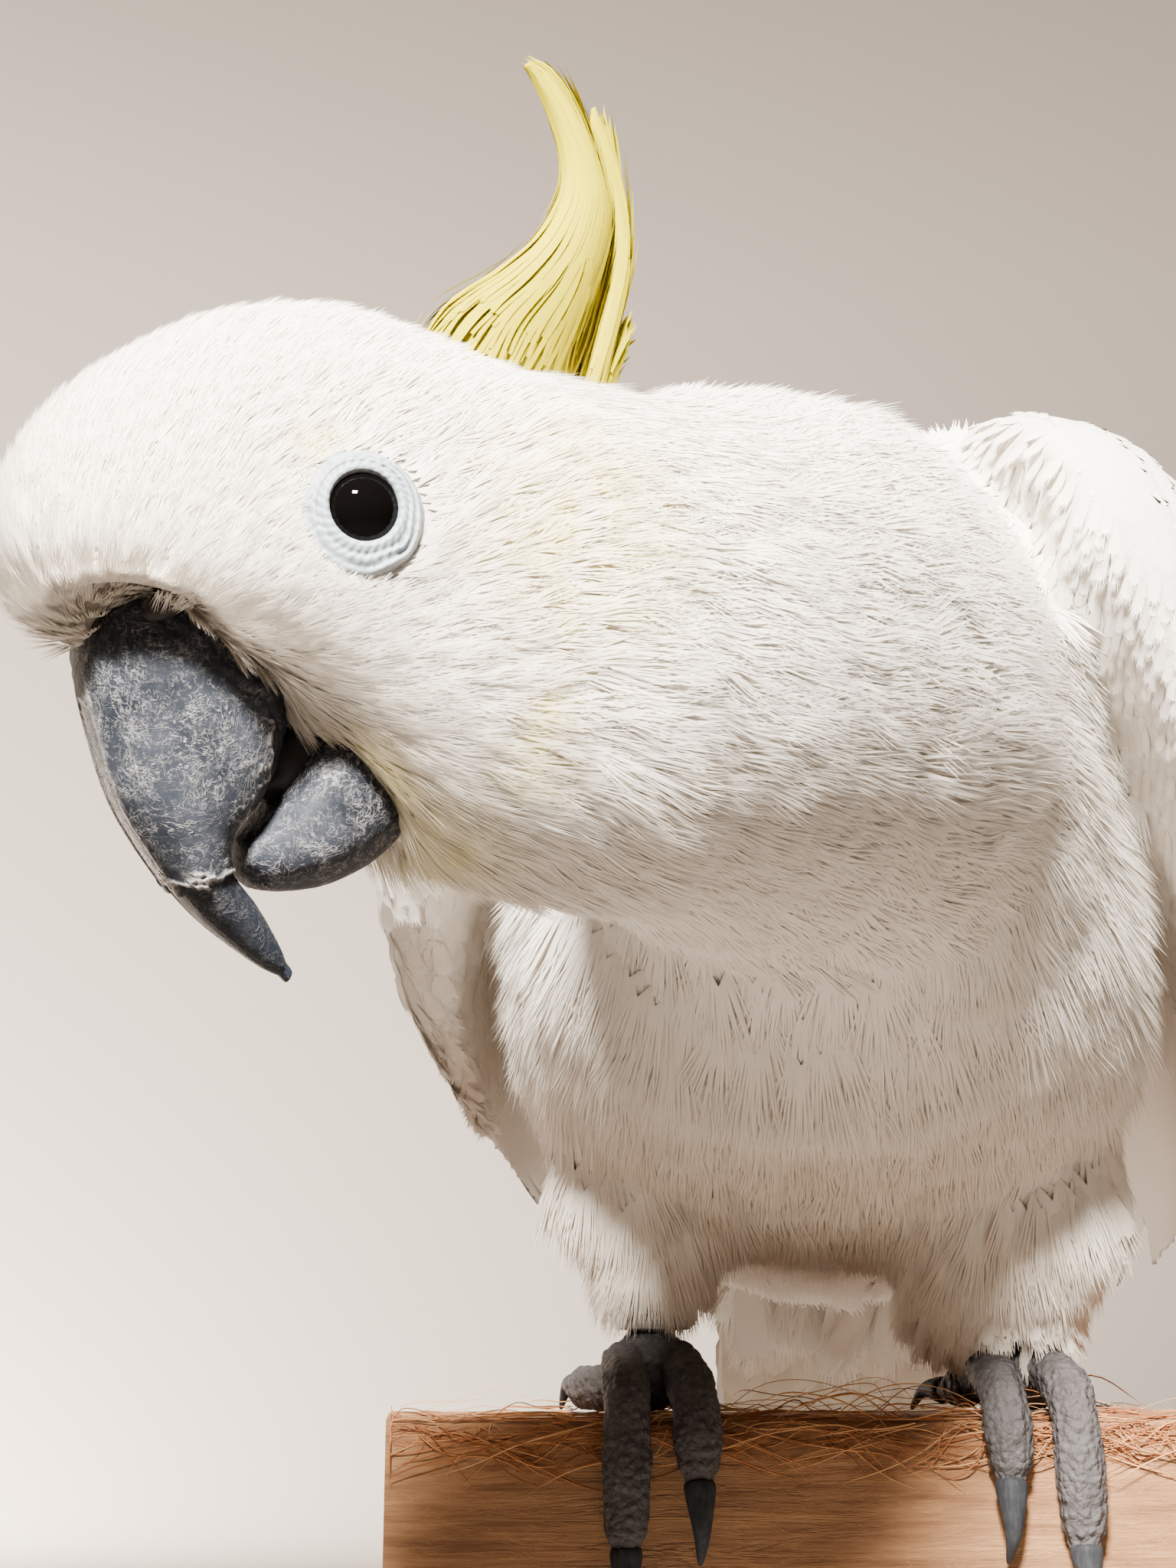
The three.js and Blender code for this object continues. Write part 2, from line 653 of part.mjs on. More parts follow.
// Identity ring, loose on the right shank
const band = [
  [RING_INNER, 0],
  [RING_OUTER, 0],
  [RING_OUTER, RING_HEIGHT],
  [RING_INNER, RING_HEIGHT],
  [RING_INNER, 0],
].map(([r, h]) => new THREE.Vector2(r, h));
const ring = tidy(new THREE.LatheGeometry(band, 20));
ring.rotateX(Math.PI / 2);
const ringMesh = add(bird, 'leg_ring', outward(ring), material(0xb9bbb9, 0.35, 0.9));
ringMesh.position.set(FOOT_RIGHT.x + 0.6, FOOT_RIGHT.y + 2.6, 17);

// ---------------------------------------------------------------- perch and display stand
function slab(width, depth, height, corner) {
  const shape = new THREE.Shape();
  const w = width / 2;
  const d = depth / 2;
  shape.moveTo(-w + corner, -d);
  shape.lineTo(w - corner, -d);
  shape.absarc(w - corner, -d + corner, corner, -Math.PI / 2, 0);
  shape.lineTo(w, d - corner);
  shape.absarc(w - corner, d - corner, corner, 0, Math.PI / 2);
  shape.lineTo(-w + corner, d);
  shape.absarc(-w + corner, d - corner, corner, Math.PI / 2, Math.PI);
  shape.lineTo(-w, -d + corner);
  shape.absarc(-w + corner, -d + corner, corner, Math.PI, Math.PI * 1.5);
  return new THREE.ExtrudeGeometry(shape, { depth: height, bevelEnabled: false, curveSegments: 4 });
}

const timber = slab(PERCH_SIDE, PERCH_SIDE, PERCH_LENGTH, PERCH_EDGE);
timber.rotateY(Math.PI / 2);
timber.translate(-PERCH_LENGTH / 2, 0, PERCH_TOP - PERCH_SIDE / 2);
add(root, 'perch_beam', outward(tidy(timber)), material(0xa0643c, 0.75));

const base = slab(BASE_WIDTH, BASE_DEPTH, BASE_THICKNESS, BASE_CORNER);
add(root, 'stand_base', outward(tidy(base)), material(0x8f8f8c, 0.6));

const rodTop = PERCH_TOP - PERCH_SIDE - GAP;
const rodBottom = BASE_THICKNESS + GAP;
for (const [side, word] of [[1, 'left'], [-1, 'right']]) {
  const rod = new THREE.CylinderGeometry(ROD_RADIUS, ROD_RADIUS, rodTop - rodBottom, 18);
  rod.rotateX(Math.PI / 2);
  const mesh = add(root, `stand_rod_${word}`, tidy(rod), material(0xa8a8a5, 0.4, 0.8));
  mesh.position.set(side * ROD_SPREAD, 0, (rodTop + rodBottom) / 2);
}

export default root;
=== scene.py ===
from math import cos, pi, radians, sin

import bmesh
import bpy
import numpy as np
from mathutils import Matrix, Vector, noise
from mathutils.bvhtree import BVHTree
from mathutils.kdtree import KDTree


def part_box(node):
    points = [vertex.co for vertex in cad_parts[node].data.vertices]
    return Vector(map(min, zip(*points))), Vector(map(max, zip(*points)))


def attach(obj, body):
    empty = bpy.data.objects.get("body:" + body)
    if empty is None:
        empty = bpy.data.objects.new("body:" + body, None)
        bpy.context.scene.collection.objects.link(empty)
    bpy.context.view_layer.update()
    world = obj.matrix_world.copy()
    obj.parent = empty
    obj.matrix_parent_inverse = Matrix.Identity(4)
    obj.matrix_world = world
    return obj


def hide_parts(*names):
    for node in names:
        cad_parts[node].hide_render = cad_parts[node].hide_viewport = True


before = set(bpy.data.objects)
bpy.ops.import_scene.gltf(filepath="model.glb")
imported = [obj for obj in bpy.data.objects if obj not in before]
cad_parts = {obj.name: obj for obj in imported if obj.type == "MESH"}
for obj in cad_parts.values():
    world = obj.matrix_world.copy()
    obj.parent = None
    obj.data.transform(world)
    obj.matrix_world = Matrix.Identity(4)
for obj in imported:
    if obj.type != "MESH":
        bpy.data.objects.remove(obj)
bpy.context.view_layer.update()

# ---------------------------------------------------------------- camera
# It stands at perch height close to the bird and looks a little up into its face.
CAMERA_PLACE = (-0.0865, -0.4627, 0.1478)
CAMERA_RISE = radians(14.6)
CAMERA_TURN = radians(4.5)

bpy.ops.object.camera_add(location=CAMERA_PLACE, rotation=(pi / 2 + CAMERA_RISE, 0, -CAMERA_TURN))
camera = bpy.context.object
camera.data.lens = 50
camera.data.sensor_width = 36
camera.data.clip_start = 0.01
bpy.context.scene.camera = camera


# ---------------------------------------------------------------- room
# A wide pale floor that sweeps up into a wall all the way round, a soft window high in front,
# a broad fill light behind and a light that washes the wall.
class Value:
    """A shader socket; an expression on it adds the Math nodes it needs."""

    def __init__(self, finish, socket):
        self.finish = finish
        self.socket = socket

    def __add__(self, other):
        return self.finish.math("ADD", self, other)

    def __sub__(self, other):
        return self.finish.math("SUBTRACT", self, other)

    def __rsub__(self, other):
        return self.finish.math("SUBTRACT", other, self)

    def __mul__(self, other):
        return self.finish.math("MULTIPLY", self, other)

    def __truediv__(self, other):
        return self.finish.math("DIVIDE", self, other)

    __radd__ = __add__
    __rmul__ = __mul__


class Finish:
    """One material, or the world, and the nodes that make its look."""

    def __init__(self, owner):
        owner.use_nodes = True
        self.owner = owner
        self.tree = owner.node_tree

    def node(self, kind, settings=None, values=None, output=0):
        made = self.tree.nodes.new(kind)
        for key, value in (settings or {}).items():
            if key == "stops":
                self.set_stops(made.color_ramp, value)
            else:
                setattr(made, key, value)
        for key, value in (values or {}).items():
            self.plug(made.inputs[key], value)
        return Value(self, made.outputs[output])

    def set_stops(self, ramp, stops):
        while len(ramp.elements) < len(stops):
            ramp.elements.new(1)
        for element, (place, level) in zip(ramp.elements, stops):
            element.position = place
            element.color = (*level, 1) if hasattr(level, "__len__") else (level, level, level, 1)

    def plug(self, socket, value):
        if isinstance(value, Value):
            self.tree.links.new(value.socket, socket)
        else:
            socket.default_value = value

    def math(self, operation, *terms):
        return self.node("ShaderNodeMath", {"operation": operation}, dict(enumerate(terms)))

    def clamp(self, value):
        return self.node("ShaderNodeClamp", None, {"Value": value})

    def mix(self, factor, first, second):
        colours = {0: factor, 6: self.colour(first), 7: self.colour(second)}
        return self.node("ShaderNodeMix", {"data_type": "RGBA"}, colours, 2)

    def colour(self, value):
        return value if isinstance(value, Value) else (*value, 1)

    def place(self, turn=(0, 0, 0), scale=(1, 1, 1), at=(0, 0, 0)):
        coordinates = self.node("ShaderNodeTexCoord", None, None, "Object")
        values = {"Vector": coordinates, "Rotation": turn, "Scale": scale, "Location": at}
        return self.node("ShaderNodeMapping", None, values)

    def noise(self, where, scale, detail=3, rough=0.55, warp=0):
        values = {"Vector": where, "Scale": scale, "Detail": detail, "Roughness": rough, "Distortion": warp}
        return self.node("ShaderNodeTexNoise", None, values)

    def ramp(self, value, *stops):
        return self.node("ShaderNodeValToRGB", {"stops": stops}, {"Fac": value})

    def near(self, where, centre, radius, soft=0.5):
        """1 inside a ball of that radius, fading to 0 at its edge."""
        both = {0: where, 1: centre}
        away = self.node("ShaderNodeVectorMath", {"operation": "DISTANCE"}, both, "Value")
        return self.clamp((radius - away) / (radius * soft))

    def bump(self, height, strength, distance):
        values = {"Height": height, "Strength": strength, "Distance": distance}
        return self.node("ShaderNodeBump", None, values)

    def attribute(self, name):
        return self.node("ShaderNodeAttribute", {"attribute_name": name}, None, "Fac")

    def set(self, **values):
        shader = self.tree.nodes["Principled BSDF"]
        for key, value in values.items():
            if key == "Base_Color" and not isinstance(value, Value):
                value = self.colour(value)
            self.plug(shader.inputs[key.replace("_", " ")], value)
        return self.owner


def new_finish(name):
    return Finish(bpy.data.materials.new(name))


ROOM_COLOUR = (0.25, 0.215, 0.185)
SKY_COLOUR = (1.0, 0.94, 0.87)
SKY_STRENGTH = 0.03
FLOOR_REACH = 1.5
FLOOR_DROP = 0.0004
SWEEP_RADIUS = 2.3
WALL_TOP = 4.2


def paint_world():
    world = bpy.data.worlds.new("soft_room")
    bpy.context.scene.world = world
    look = Finish(world)
    background = look.tree.nodes["Background"]
    direction = look.node("ShaderNodeTexCoord", None, None, "Generated")
    height = look.node("ShaderNodeSeparateXYZ", None, {0: direction}, "Z")
    tone = look.ramp(height, (0, SKY_COLOUR), (1, tuple(c * 0.85 for c in SKY_COLOUR)))
    look.plug(background.inputs["Color"], tone)
    background.inputs["Strength"].default_value = SKY_STRENGTH


def lay_floor():
    """A round floor that sweeps up without a corner into a wall all the way round."""
    bpy.ops.mesh.primitive_circle_add(vertices=128, radius=FLOOR_REACH, fill_type="NGON",
                                      location=(0, 0, -FLOOR_DROP))
    floor = bpy.context.object
    floor.name = "floor"
    bpy.ops.object.transform_apply(location=True, rotation=True, scale=True)
    bpy.ops.object.mode_set(mode="EDIT")
    bpy.ops.mesh.select_mode(type="EDGE")
    bpy.ops.mesh.select_all(action="SELECT")
    bpy.ops.mesh.region_to_loop()
    at, level = FLOOR_REACH, 0.0
    steps = [(FLOOR_REACH + SWEEP_RADIUS * sin(a), SWEEP_RADIUS * (1 - cos(a)))
             for a in np.linspace(0, pi / 2, 17)[1:]] + [(FLOOR_REACH + SWEEP_RADIUS, WALL_TOP)]
    for reach, height in steps:
        grow_by = reach / at
        bpy.ops.mesh.extrude_edges_move(TRANSFORM_OT_translate={"value": (0, 0, height - level)})
        bpy.ops.transform.resize(value=(grow_by, grow_by, 1), center_override=(0, 0, 0))
        at, level = reach, height
    bpy.ops.mesh.select_all(action="SELECT")
    bpy.ops.mesh.normals_make_consistent(inside=True)
    bpy.ops.object.mode_set(mode="OBJECT")
    bpy.ops.object.shade_smooth_by_angle(angle=radians(40))
    look = new_finish("pale_room")
    speckle = look.noise(look.place(), 60, 4)
    tone = look.mix(speckle * 0.10, ROOM_COLOUR, tuple(c * 0.9 for c in ROOM_COLOUR))
    floor.data.materials.append(look.set(Base_Color=tone, Roughness=0.9, Specular_IOR_Level=0.1))


def hang_light(name, place, aim, size, power, colour, spread=180):
    bpy.ops.object.light_add(type="AREA", location=place)
    light = bpy.context.object
    light.name = name
    light.rotation_euler = (Vector(aim) - Vector(place)).to_track_quat("-Z", "Y").to_euler()
    light.data.shape = "RECTANGLE"
    light.data.size, light.data.size_y = size
    light.data.energy = power
    light.data.color = colour
    light.data.spread = radians(spread)
    light.visible_camera = False


paint_world()
lay_floor()
hang_light("window", (-0.25, -0.94, 0.75), (0.0, -0.12, 0.31), (0.16, 0.11), 17, (1, 0.93, 0.845), 70)
hang_light("rear_fill", (1.15, 1.35, 1.15), (0.0, 0.05, 0.22), (0.9, 0.7), 15, (1, 0.96, 0.91), 110)
hang_light("wall_light", (-1.2, 1.0, 0.5), (-1.1, 3.4, 0.75), (0.8, 0.4), 860, (1, 0.945, 0.88))


# ---------------------------------------------------------------- perch
# A short sawn length of reddish hardwood, weathered along its grain, with loose bark
# fibres teased out of its upper edges by the bird's claws.
PERCH_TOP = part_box("perch_beam")[1].z
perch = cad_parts["perch_beam"]


def timber_finish():
    look = new_finish("weathered_hardwood")
    along = look.place(scale=(1, 9, 9))
    streaks = look.noise(along, 34, 8, 0.62, 0.5)
    fine = look.noise(look.place(scale=(1, 26, 26)), 60, 6, 0.7)
    patches = look.noise(look.place(), 16, 3)
    split = look.noise(look.place(scale=(1, 13, 13)), 24, 4, 0.6, 0.8)
    splits = look.clamp(1 - look.math("ABSOLUTE", split - 0.5) * 30) * look.clamp(patches * 4 - 1.9)
    scuff = look.noise(look.place(turn=(0, 0.5, 0.3), scale=(1, 6, 6)), 70, 4, 0.6, 1.0)
    scuffs = look.clamp(1 - look.math("ABSOLUTE", scuff - 0.5) * 34) * 0.5
    grain = look.clamp(streaks * 0.9 + fine * 0.45 + patches * 0.3 - 0.34 - splits * 0.35 + scuffs * 0.2)
    tone = look.ramp(grain, (0.16, (0.062, 0.026, 0.010)), (0.36, (0.22, 0.100, 0.042)),
                     (0.58, (0.37, 0.185, 0.080)), (0.85, (0.51, 0.29, 0.135)))
    worn = look.mix(look.clamp(patches * 2.2 - 0.9) * 0.3, tone, (0.41, 0.22, 0.10))
    relief = look.bump(streaks + fine * 0.6 - splits * 0.8 + scuffs * 0.3, 0.6, 0.0012)
    return look.set(Base_Color=worn, Roughness=0.78, Normal=relief)


timber = timber_finish()
perch.data.materials.clear()
perch.data.materials.append(timber)


# ---------------------------------------------------------------- display stand
# A flat painted base plate and two plain steel rods that carry the perch.
def plate_finish():
    look = new_finish("painted_plate")
    orange_peel = look.noise(look.place(), 700, 2)
    wear = look.noise(look.place(), 22, 4)
    tone = look.mix(wear * 0.3, (0.42, 0.41, 0.39), (0.35, 0.34, 0.33))
    return look.set(Base_Color=tone, Roughness=0.5 + wear * 0.15, Normal=look.bump(orange_peel, 0.15, 0.0003))


def rod_finish():
    look = new_finish("brushed_rod")
    turned = look.noise(look.place(scale=(1, 1, 40)), 60, 3)
    return look.set(Base_Color=(0.62, 0.61, 0.59), Metallic=1.0, Roughness=0.25 + turned * 0.2,
                    Normal=look.bump(turned, 0.1, 0.0002))


painted_plate, brushed_rod = plate_finish(), rod_finish()
for node, finish in (("stand_base", painted_plate), ("stand_rod_left", brushed_rod),
                     ("stand_rod_right", brushed_rod)):
    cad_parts[node].data.materials.clear()
    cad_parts[node].data.materials.append(finish)


# ---------------------------------------------------------------- body
# One skin under the plumage runs from the face over neck, trunk, shoulders and thighs
# without a seam. It lies inside the outline by the depth of the feathers that cover it.
MM = 0.001
HEAD_TURN = 69
HEAD_PITCH = 22.4
HEAD_ROLL = 11.7
TRUNK_TURN = 11
SKIN_VOXEL = 1.6 * MM


def axes(turn, pitch=0.0, roll=0.0):
    """Rows forward, left and up of a body part that is turned to its right, bill down and left side down."""
    h, p, r = radians(turn), radians(pitch), radians(roll)
    forward = Vector((-sin(h) * cos(p), -cos(h) * cos(p), -sin(p)))
    side = Vector((cos(h), -sin(h), 0))
    left = side * cos(r) - forward.cross(side) * sin(r)
    return np.array([forward, left, forward.cross(left)])


def middle(node):
    low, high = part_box(node)
    return np.array((low + high) / 2)


head_axes = axes(HEAD_TURN, HEAD_PITCH, HEAD_ROLL)
head_at = (middle("eye_left") + middle("eye_right")) / 2
trunk_axes = axes(TRUNK_TURN)
trunk_at = np.array((0.001, 0, PERCH_TOP))


def on_head(*place):
    return np.array(place) * MM @ head_axes + head_at


def on_trunk(*place):
    return np.array(place) * MM @ trunk_axes + trunk_at


def head_view(points):
    return (points - head_at) @ head_axes.T / MM


def trunk_view(points):
    return (points - trunk_at) @ trunk_axes.T / MM


def smoothstep(value, low, high):
    t = np.clip((value - low) / (high - low), 0, 1)
    return t * t * (3 - 2 * t)


def select_only(*objects):
    bpy.ops.object.select_all(action="DESELECT")
    for each in objects:
        each.select_set(True)
    bpy.context.view_layer.objects.active = objects[0]


def copy_nodes(name, *nodes):
    """One merged mesh from copies of the frame's nodes, as the blank for a finer piece."""
    copies = []
    for node in nodes:
        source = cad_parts[node]
        twin = bpy.data.objects.new(name, source.data.copy())
        bpy.context.collection.objects.link(twin)
        copies.append(twin)
    select_only(*copies)
    if len(copies) > 1:
        bpy.ops.object.join()
    blank = bpy.context.view_layer.objects.active
    blank.name = name
    blank.data.materials.clear()
    bpy.ops.object.mode_set(mode="EDIT")
    bpy.ops.mesh.select_all(action="SELECT")
    bpy.ops.mesh.remove_doubles(threshold=0.00001)
    bpy.ops.mesh.normals_make_consistent(inside=False)
    bpy.ops.object.mode_set(mode="OBJECT")
    return blank


def apply_modifier(piece, kind, **settings):
    select_only(piece)
    modifier = piece.modifiers.new(kind.lower(), kind)
    for key, value in settings.items():
        setattr(modifier, key, value)
    bpy.ops.object.modifier_apply(modifier=modifier.name)


def refine(piece, voxel, passes):
    """Closes the blank into one fine even mesh and rounds its facets."""
    apply_modifier(piece, "REMESH", mode="VOXEL", voxel_size=voxel)
    apply_modifier(piece, "SMOOTH", factor=0.5, iterations=passes)


def coordinates(piece):
    points = np.empty(len(piece.data.vertices) * 3, np.float32)
    piece.data.vertices.foreach_get("co", points)
    return points.reshape(-1, 3).astype(float)


def vertex_normals(piece):
    found = np.empty(len(piece.data.vertices) * 3, np.float32)
    piece.data.vertices.foreach_get("normal", found)
    return found.reshape(-1, 3).astype(float)


def move_points(piece, points):
    piece.data.vertices.foreach_set("co", points.astype(np.float32).ravel())
    piece.data.update()


def surface_of(piece):
    mesh = bmesh.new()
    mesh.from_mesh(piece.data)
    tree = BVHTree.FromBMesh(mesh)
    mesh.free()
    return tree


def surface_of_nodes(*nodes):
    blank = copy_nodes("blank", *nodes)
    tree = surface_of(blank)
    bpy.data.objects.remove(blank)
    return tree


def distance_to(tree, points):
    return np.array([tree.find_nearest(Vector(p))[3] for p in points]) / MM


# The line down the middle of the bird, from the forehead to the rump
SPINE_HEAD = [(24, 0, 2), (12, 0, -1), (0, 0, -5), (-14, 0, -12), (-34, 0, -24)]
SPINE_TRUNK = [(118, 0, 118), (95, 0, 112), (60, 0, 99), (20, 0, 84), (-20, 0, 70), (-60, 0, 57),
               (-106, 0, 38)]


def lay_spine():
    corners = np.array([on_head(*p) for p in SPINE_HEAD] + [on_trunk(*p) for p in SPINE_TRUNK])
    steps = np.linalg.norm(np.diff(corners, axis=0), axis=1)
    reach = np.concatenate(([0], np.cumsum(steps)))
    at = np.arange(0, reach[-1], 2 * MM)
    line = np.stack([np.interp(at, reach, corners[:, k]) for k in range(3)], 1)
    for _ in range(30):
        line[1:-1] = (line[:-2] + line[2:] + 2 * line[1:-1]) / 4
    way = np.gradient(line, axis=0)
    return line, way / np.linalg.norm(way, axis=1, keepdims=True), at / MM


spine, spine_way, spine_reach = lay_spine()


def along_spine(points):
    """Index of the nearest spine point, for each point."""
    found = np.empty(len(points), int)
    for start in range(0, len(points), 4000):
        part = points[start:start + 4000]
        away = ((part[:, None] - spine[None]) ** 2).sum(2)
        found[start:start + 4000] = away.argmin(1)
    return found


WING_FRONT_END = -40


def wing_front(name, word, end):
    """The fore part of the wing, down to that x in the trunk's frame."""
    piece = copy_nodes(name, f"wing_{word}")
    bpy.ops.object.mode_set(mode="EDIT")
    bpy.ops.mesh.select_all(action="SELECT")
    bpy.ops.mesh.bisect(plane_co=on_trunk(end, 0, 0), plane_no=trunk_axes[0],
                        use_fill=True, clear_inner=True)
    bpy.ops.object.mode_set(mode="OBJECT")
    return piece


def make_skin():
    flesh = copy_nodes("skin", "head", "neck", "trunk", "thigh_left", "thigh_right",
                       "eye_left", "eye_right", "eye_ring_left", "eye_ring_right")
    apply_modifier(flesh, "DISPLACE", strength=0.5 * MM, mid_level=0)
    fronts = [wing_front("wing_front", word, WING_FRONT_END) for word in ("left", "right")]
    select_only(flesh, *fronts)
    bpy.ops.object.join()
    refine(flesh, SKIN_VOXEL, 8)
    return flesh


skin = make_skin()
bills = surface_of_nodes("bill_upper", "bill_lower")
flesh_nodes = surface_of_nodes("head", "neck", "trunk", "thigh_left", "thigh_right")
wing_nodes = surface_of_nodes("wing_left", "wing_right")
thigh_nodes = surface_of_nodes("thigh_left", "thigh_right")


# Depth of the coat in mm at each distance along the spine, and where it differs
DEPTH_REACH = [0, 30, 55, 80, 120, 160, 400]
DEPTH_OF_COAT = [1.0, 1.2, 1.8, 2.6, 3.4, 4.0, 4.0]
DEPTH_ON_WING = 1.0
DEPTH_ON_LEG = 3.0
# The edge of the forehead over the cere: its middle on each side, and its half sizes
BROW_EDGE = (28, 9, -6.5)
BROW_REACH = (14, 7.5, 7)
BROW_RISE = 4.4
BROW_PULL = 2.4


def shape_skin():
    """Sinks the skin by the depth of the coat, less on the wings and where it meets the bill, and
    lifts the forehead's edge off the cere. Gives whether each point belongs to a wing."""
    points = coordinates(skin)
    normals = vertex_normals(skin)
    on_wing = distance_to(wing_nodes, points) < distance_to(flesh_nodes, points) - 0.3
    reach = spine_reach[along_spine(points)]
    depth = np.interp(reach, DEPTH_REACH, DEPTH_OF_COAT)
    near_bill = np.where(reach < 50, distance_to(bills, points), 99)
    depth = 0.1 + (depth - 0.1) * smoothstep(near_bill, 0.4, 4.5)
    body = trunk_view(points)
    legs = smoothstep(-body[:, 2], -42, -20)
    depth = np.where(on_wing, DEPTH_ON_WING, depth * (1 - legs) + DEPTH_ON_LEG * legs)
    points = points - normals * depth[:, None] * MM
    head = head_view(points)
    for side in (1, -1):
        edge = np.array((BROW_EDGE[0], side * BROW_EDGE[1], BROW_EDGE[2]))
        away = np.linalg.norm((head - edge) / BROW_REACH, axis=1)
        raised = (1 - smoothstep(away, 0.35, 1.0))[:, None] * MM
        points = points + head_axes[2] * BROW_RISE * raised - head_axes[0] * BROW_PULL * raised
    move_points(skin, points)
    apply_modifier(skin, "SMOOTH", factor=0.5, iterations=3)
    return on_wing


wing_part = shape_skin()
skin_places = KDTree(len(wing_part))
for number, place in enumerate(coordinates(skin)):
    skin_places.insert(place, number)
skin_places.balance()


def is_wing(points):
    """Whether each point of the skin belongs to a wing."""
    return np.array([wing_part[skin_places.find(p)[1]] for p in points], bool)


def plumage_tint(look, base):
    """The faint yellow of ear coverts, cheeks and chin over a warm white, with painted warm shade over breast
    and belly, the same on skin and coat.
    """
    where = look.place()
    cloud = look.noise(where, 90, 3)
    tone = look.mix(look.clamp(cloud * 1.6 - 0.45) * 0.5, base, (0.84, 0.80, 0.73))
    stains = (((-24, 25, -8), 20, 0.85), ((-10, 26, -34), 8, 0.8), ((3, 20, 9), 5, 0.7),
              ((-14, 24, -27), 5, 0.7), ((0, 8, -42), 15, 0.7), ((6, 12, -30), 9, 0.6))
    for place, radius, strength in stains:
        mask = look.near(where, tuple(on_head(*place)), radius * MM, 1.0)
        patchy = mask * look.clamp(look.noise(where, 260, 2) * 2.6 - 0.5) * strength
        tone = look.mix(patchy, tone, (0.84, 0.76, 0.22))
    # Painted shade: the breast and belly are darkened to a warm brown.
    for place, radius in (((45, 0, 60), 62), ((5, 0, 25), 80)):
        under = look.near(where, tuple(on_trunk(*place)), radius * MM, 0.7)
        tone = look.mix(under * 0.86, tone, (0.60, 0.49, 0.375))
    return tone


NOSTRIL = (24.0, 11.0, -5.0)
CERE_REACH = 2.2


def skin_finish():
    look = new_finish("down_and_skin")
    tone = plumage_tint(look, (0.80, 0.745, 0.68))
    for side in (1, -1):
        bare = look.near(look.place(), tuple(on_head(NOSTRIL[0], side * NOSTRIL[1], NOSTRIL[2])), 5 * MM, 0.4)
        tone = look.mix(bare, tone, (0.10, 0.085, 0.08))
    down = look.noise(look.place(), 900, 4, 0.7)
    return look.set(Base_Color=tone, Roughness=0.9, Normal=look.bump(down, 0.5, 0.0006))


skin.data.materials.append(skin_finish())
select_only(skin)
bpy.ops.object.shade_smooth()
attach(skin, "root")
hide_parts("head", "neck", "trunk", "thigh_left", "thigh_right")


# ---------------------------------------------------------------- coat
# Thousands of small feathers, each on its own root: fans of flat barbs from face to breast, and
# short webs with a soft fringe on belly, thighs and back. They are shortest on the face.
BILL_BASE = on_head(21, 0, -12)
# Number and half width of a fan's barbs, and how much of a fringed feather is closed web
FAN = {"face": (16, 0.075), "crown": (16, 0.075), "neck": (26, 0.062), "breast": (30, 0.055)}
WEB = {"belly": 0.62, "back": 1.0}
BARB_PAIRS = 13
# How much chance there is in each region's feathers
LOOSE = {"face": 0.28, "crown": 0.12, "neck": 0.17, "breast": 0.12, "belly": 0.12, "back": 0.05}


def lie_of(points, normals, reach_index):
    """Direction in which the feathers lie at each point: away from the bill, then down the body."""
    head = head_view(points)
    reach = spine_reach[reach_index]
    fan = points - BILL_BASE
    fan = fan / np.linalg.norm(fan, axis=1, keepdims=True) - 0.55 * head_axes[0]
    blend = smoothstep(reach, 30, 70)[:, None]
    flow = fan * (1 - blend) + spine_way[reach_index] * blend
    near_thigh = 1 - smoothstep(distance_to(thigh_nodes, points), 4, 12)
    legs = (smoothstep(-trunk_view(points)[:, 2], -75, -35) * near_thigh * (reach > 90))[:, None]
    flow = flow * (1 - 0.7 * legs) + np.array((0, 0.15, -1.0)) * legs
    flow /= np.linalg.norm(flow, axis=1, keepdims=True)
    flow = flow - normals * (flow * normals).sum(1, keepdims=True)
    pull = np.linalg.norm(flow, axis=1)
    return flow / np.maximum(pull, 1e-9)[:, None], pull


def even_normals(piece, passes):
    """The piece's normals averaged over their neighbours, so that creases don't throw feathers up."""
    normals = vertex_normals(piece)
    ends = np.empty(len(piece.data.edges) * 2, np.int32)
    piece.data.edges.foreach_get("vertices", ends)
    first, second = ends.reshape(-1, 2).T
    count = len(normals)
    for _ in range(passes):
        for k in range(3):
            near = np.bincount(first, normals[second, k], count)
            near = near + np.bincount(second, normals[first, k], count)
            normals[:, k] += near
        normals /= np.linalg.norm(normals, axis=1, keepdims=True)
    return normals


skin_normals = even_normals(skin, 14)
CROWD = 2.6


def scatter(piece, spacing, seed):
    """Roots on the skin, at least spacing apart; spacing gives 0 where nothing grows."""
    rng = np.random.default_rng(seed)
    mesh = piece.data
    mesh.calc_loop_triangles()
    corners = np.empty(len(mesh.loop_triangles) * 3, np.int32)
    mesh.loop_triangles.foreach_get("vertices", corners)
    corners = corners.reshape(-1, 3)
    points = coordinates(piece)
    normals = skin_normals
    a, b, c = (points[corners[:, k]] for k in range(3))
    area = np.linalg.norm(np.cross(b - a, c - a), axis=1) / 2
    gap = spacing((a + b + c) / 3, normals[corners].mean(1))
    weight = np.where(gap > 0, area / np.maximum(gap, 1e-9) ** 2, 0)
    count = int(weight.sum() * CROWD)
    pick = rng.choice(len(corners), count, p=weight / weight.sum())
    u, v = rng.random((2, count))
    flip = u + v > 1
    u, v = np.where(flip, 1 - u, u)[:, None], np.where(flip, 1 - v, v)[:, None]
    root = a[pick] * (1 - u - v) + b[pick] * u + c[pick] * v
    lean = normals[corners[pick]]
    normal = lean[:, 0] * (1 - u - v) + lean[:, 1] * u + lean[:, 2] * v
    normal /= np.linalg.norm(normal, axis=1, keepdims=True)
    tree = KDTree(count)
    for i, p in enumerate(root):
        tree.insert(p, i)
    tree.balance()
    kept = np.ones(count, bool)
    gaps = gap[pick]
    for i in range(count):
        if kept[i]:
            for _, j, _ in tree.find_range(root[i], gaps[i]):
                if j > i:
                    kept[j] = False
    return root[kept], normal[kept]


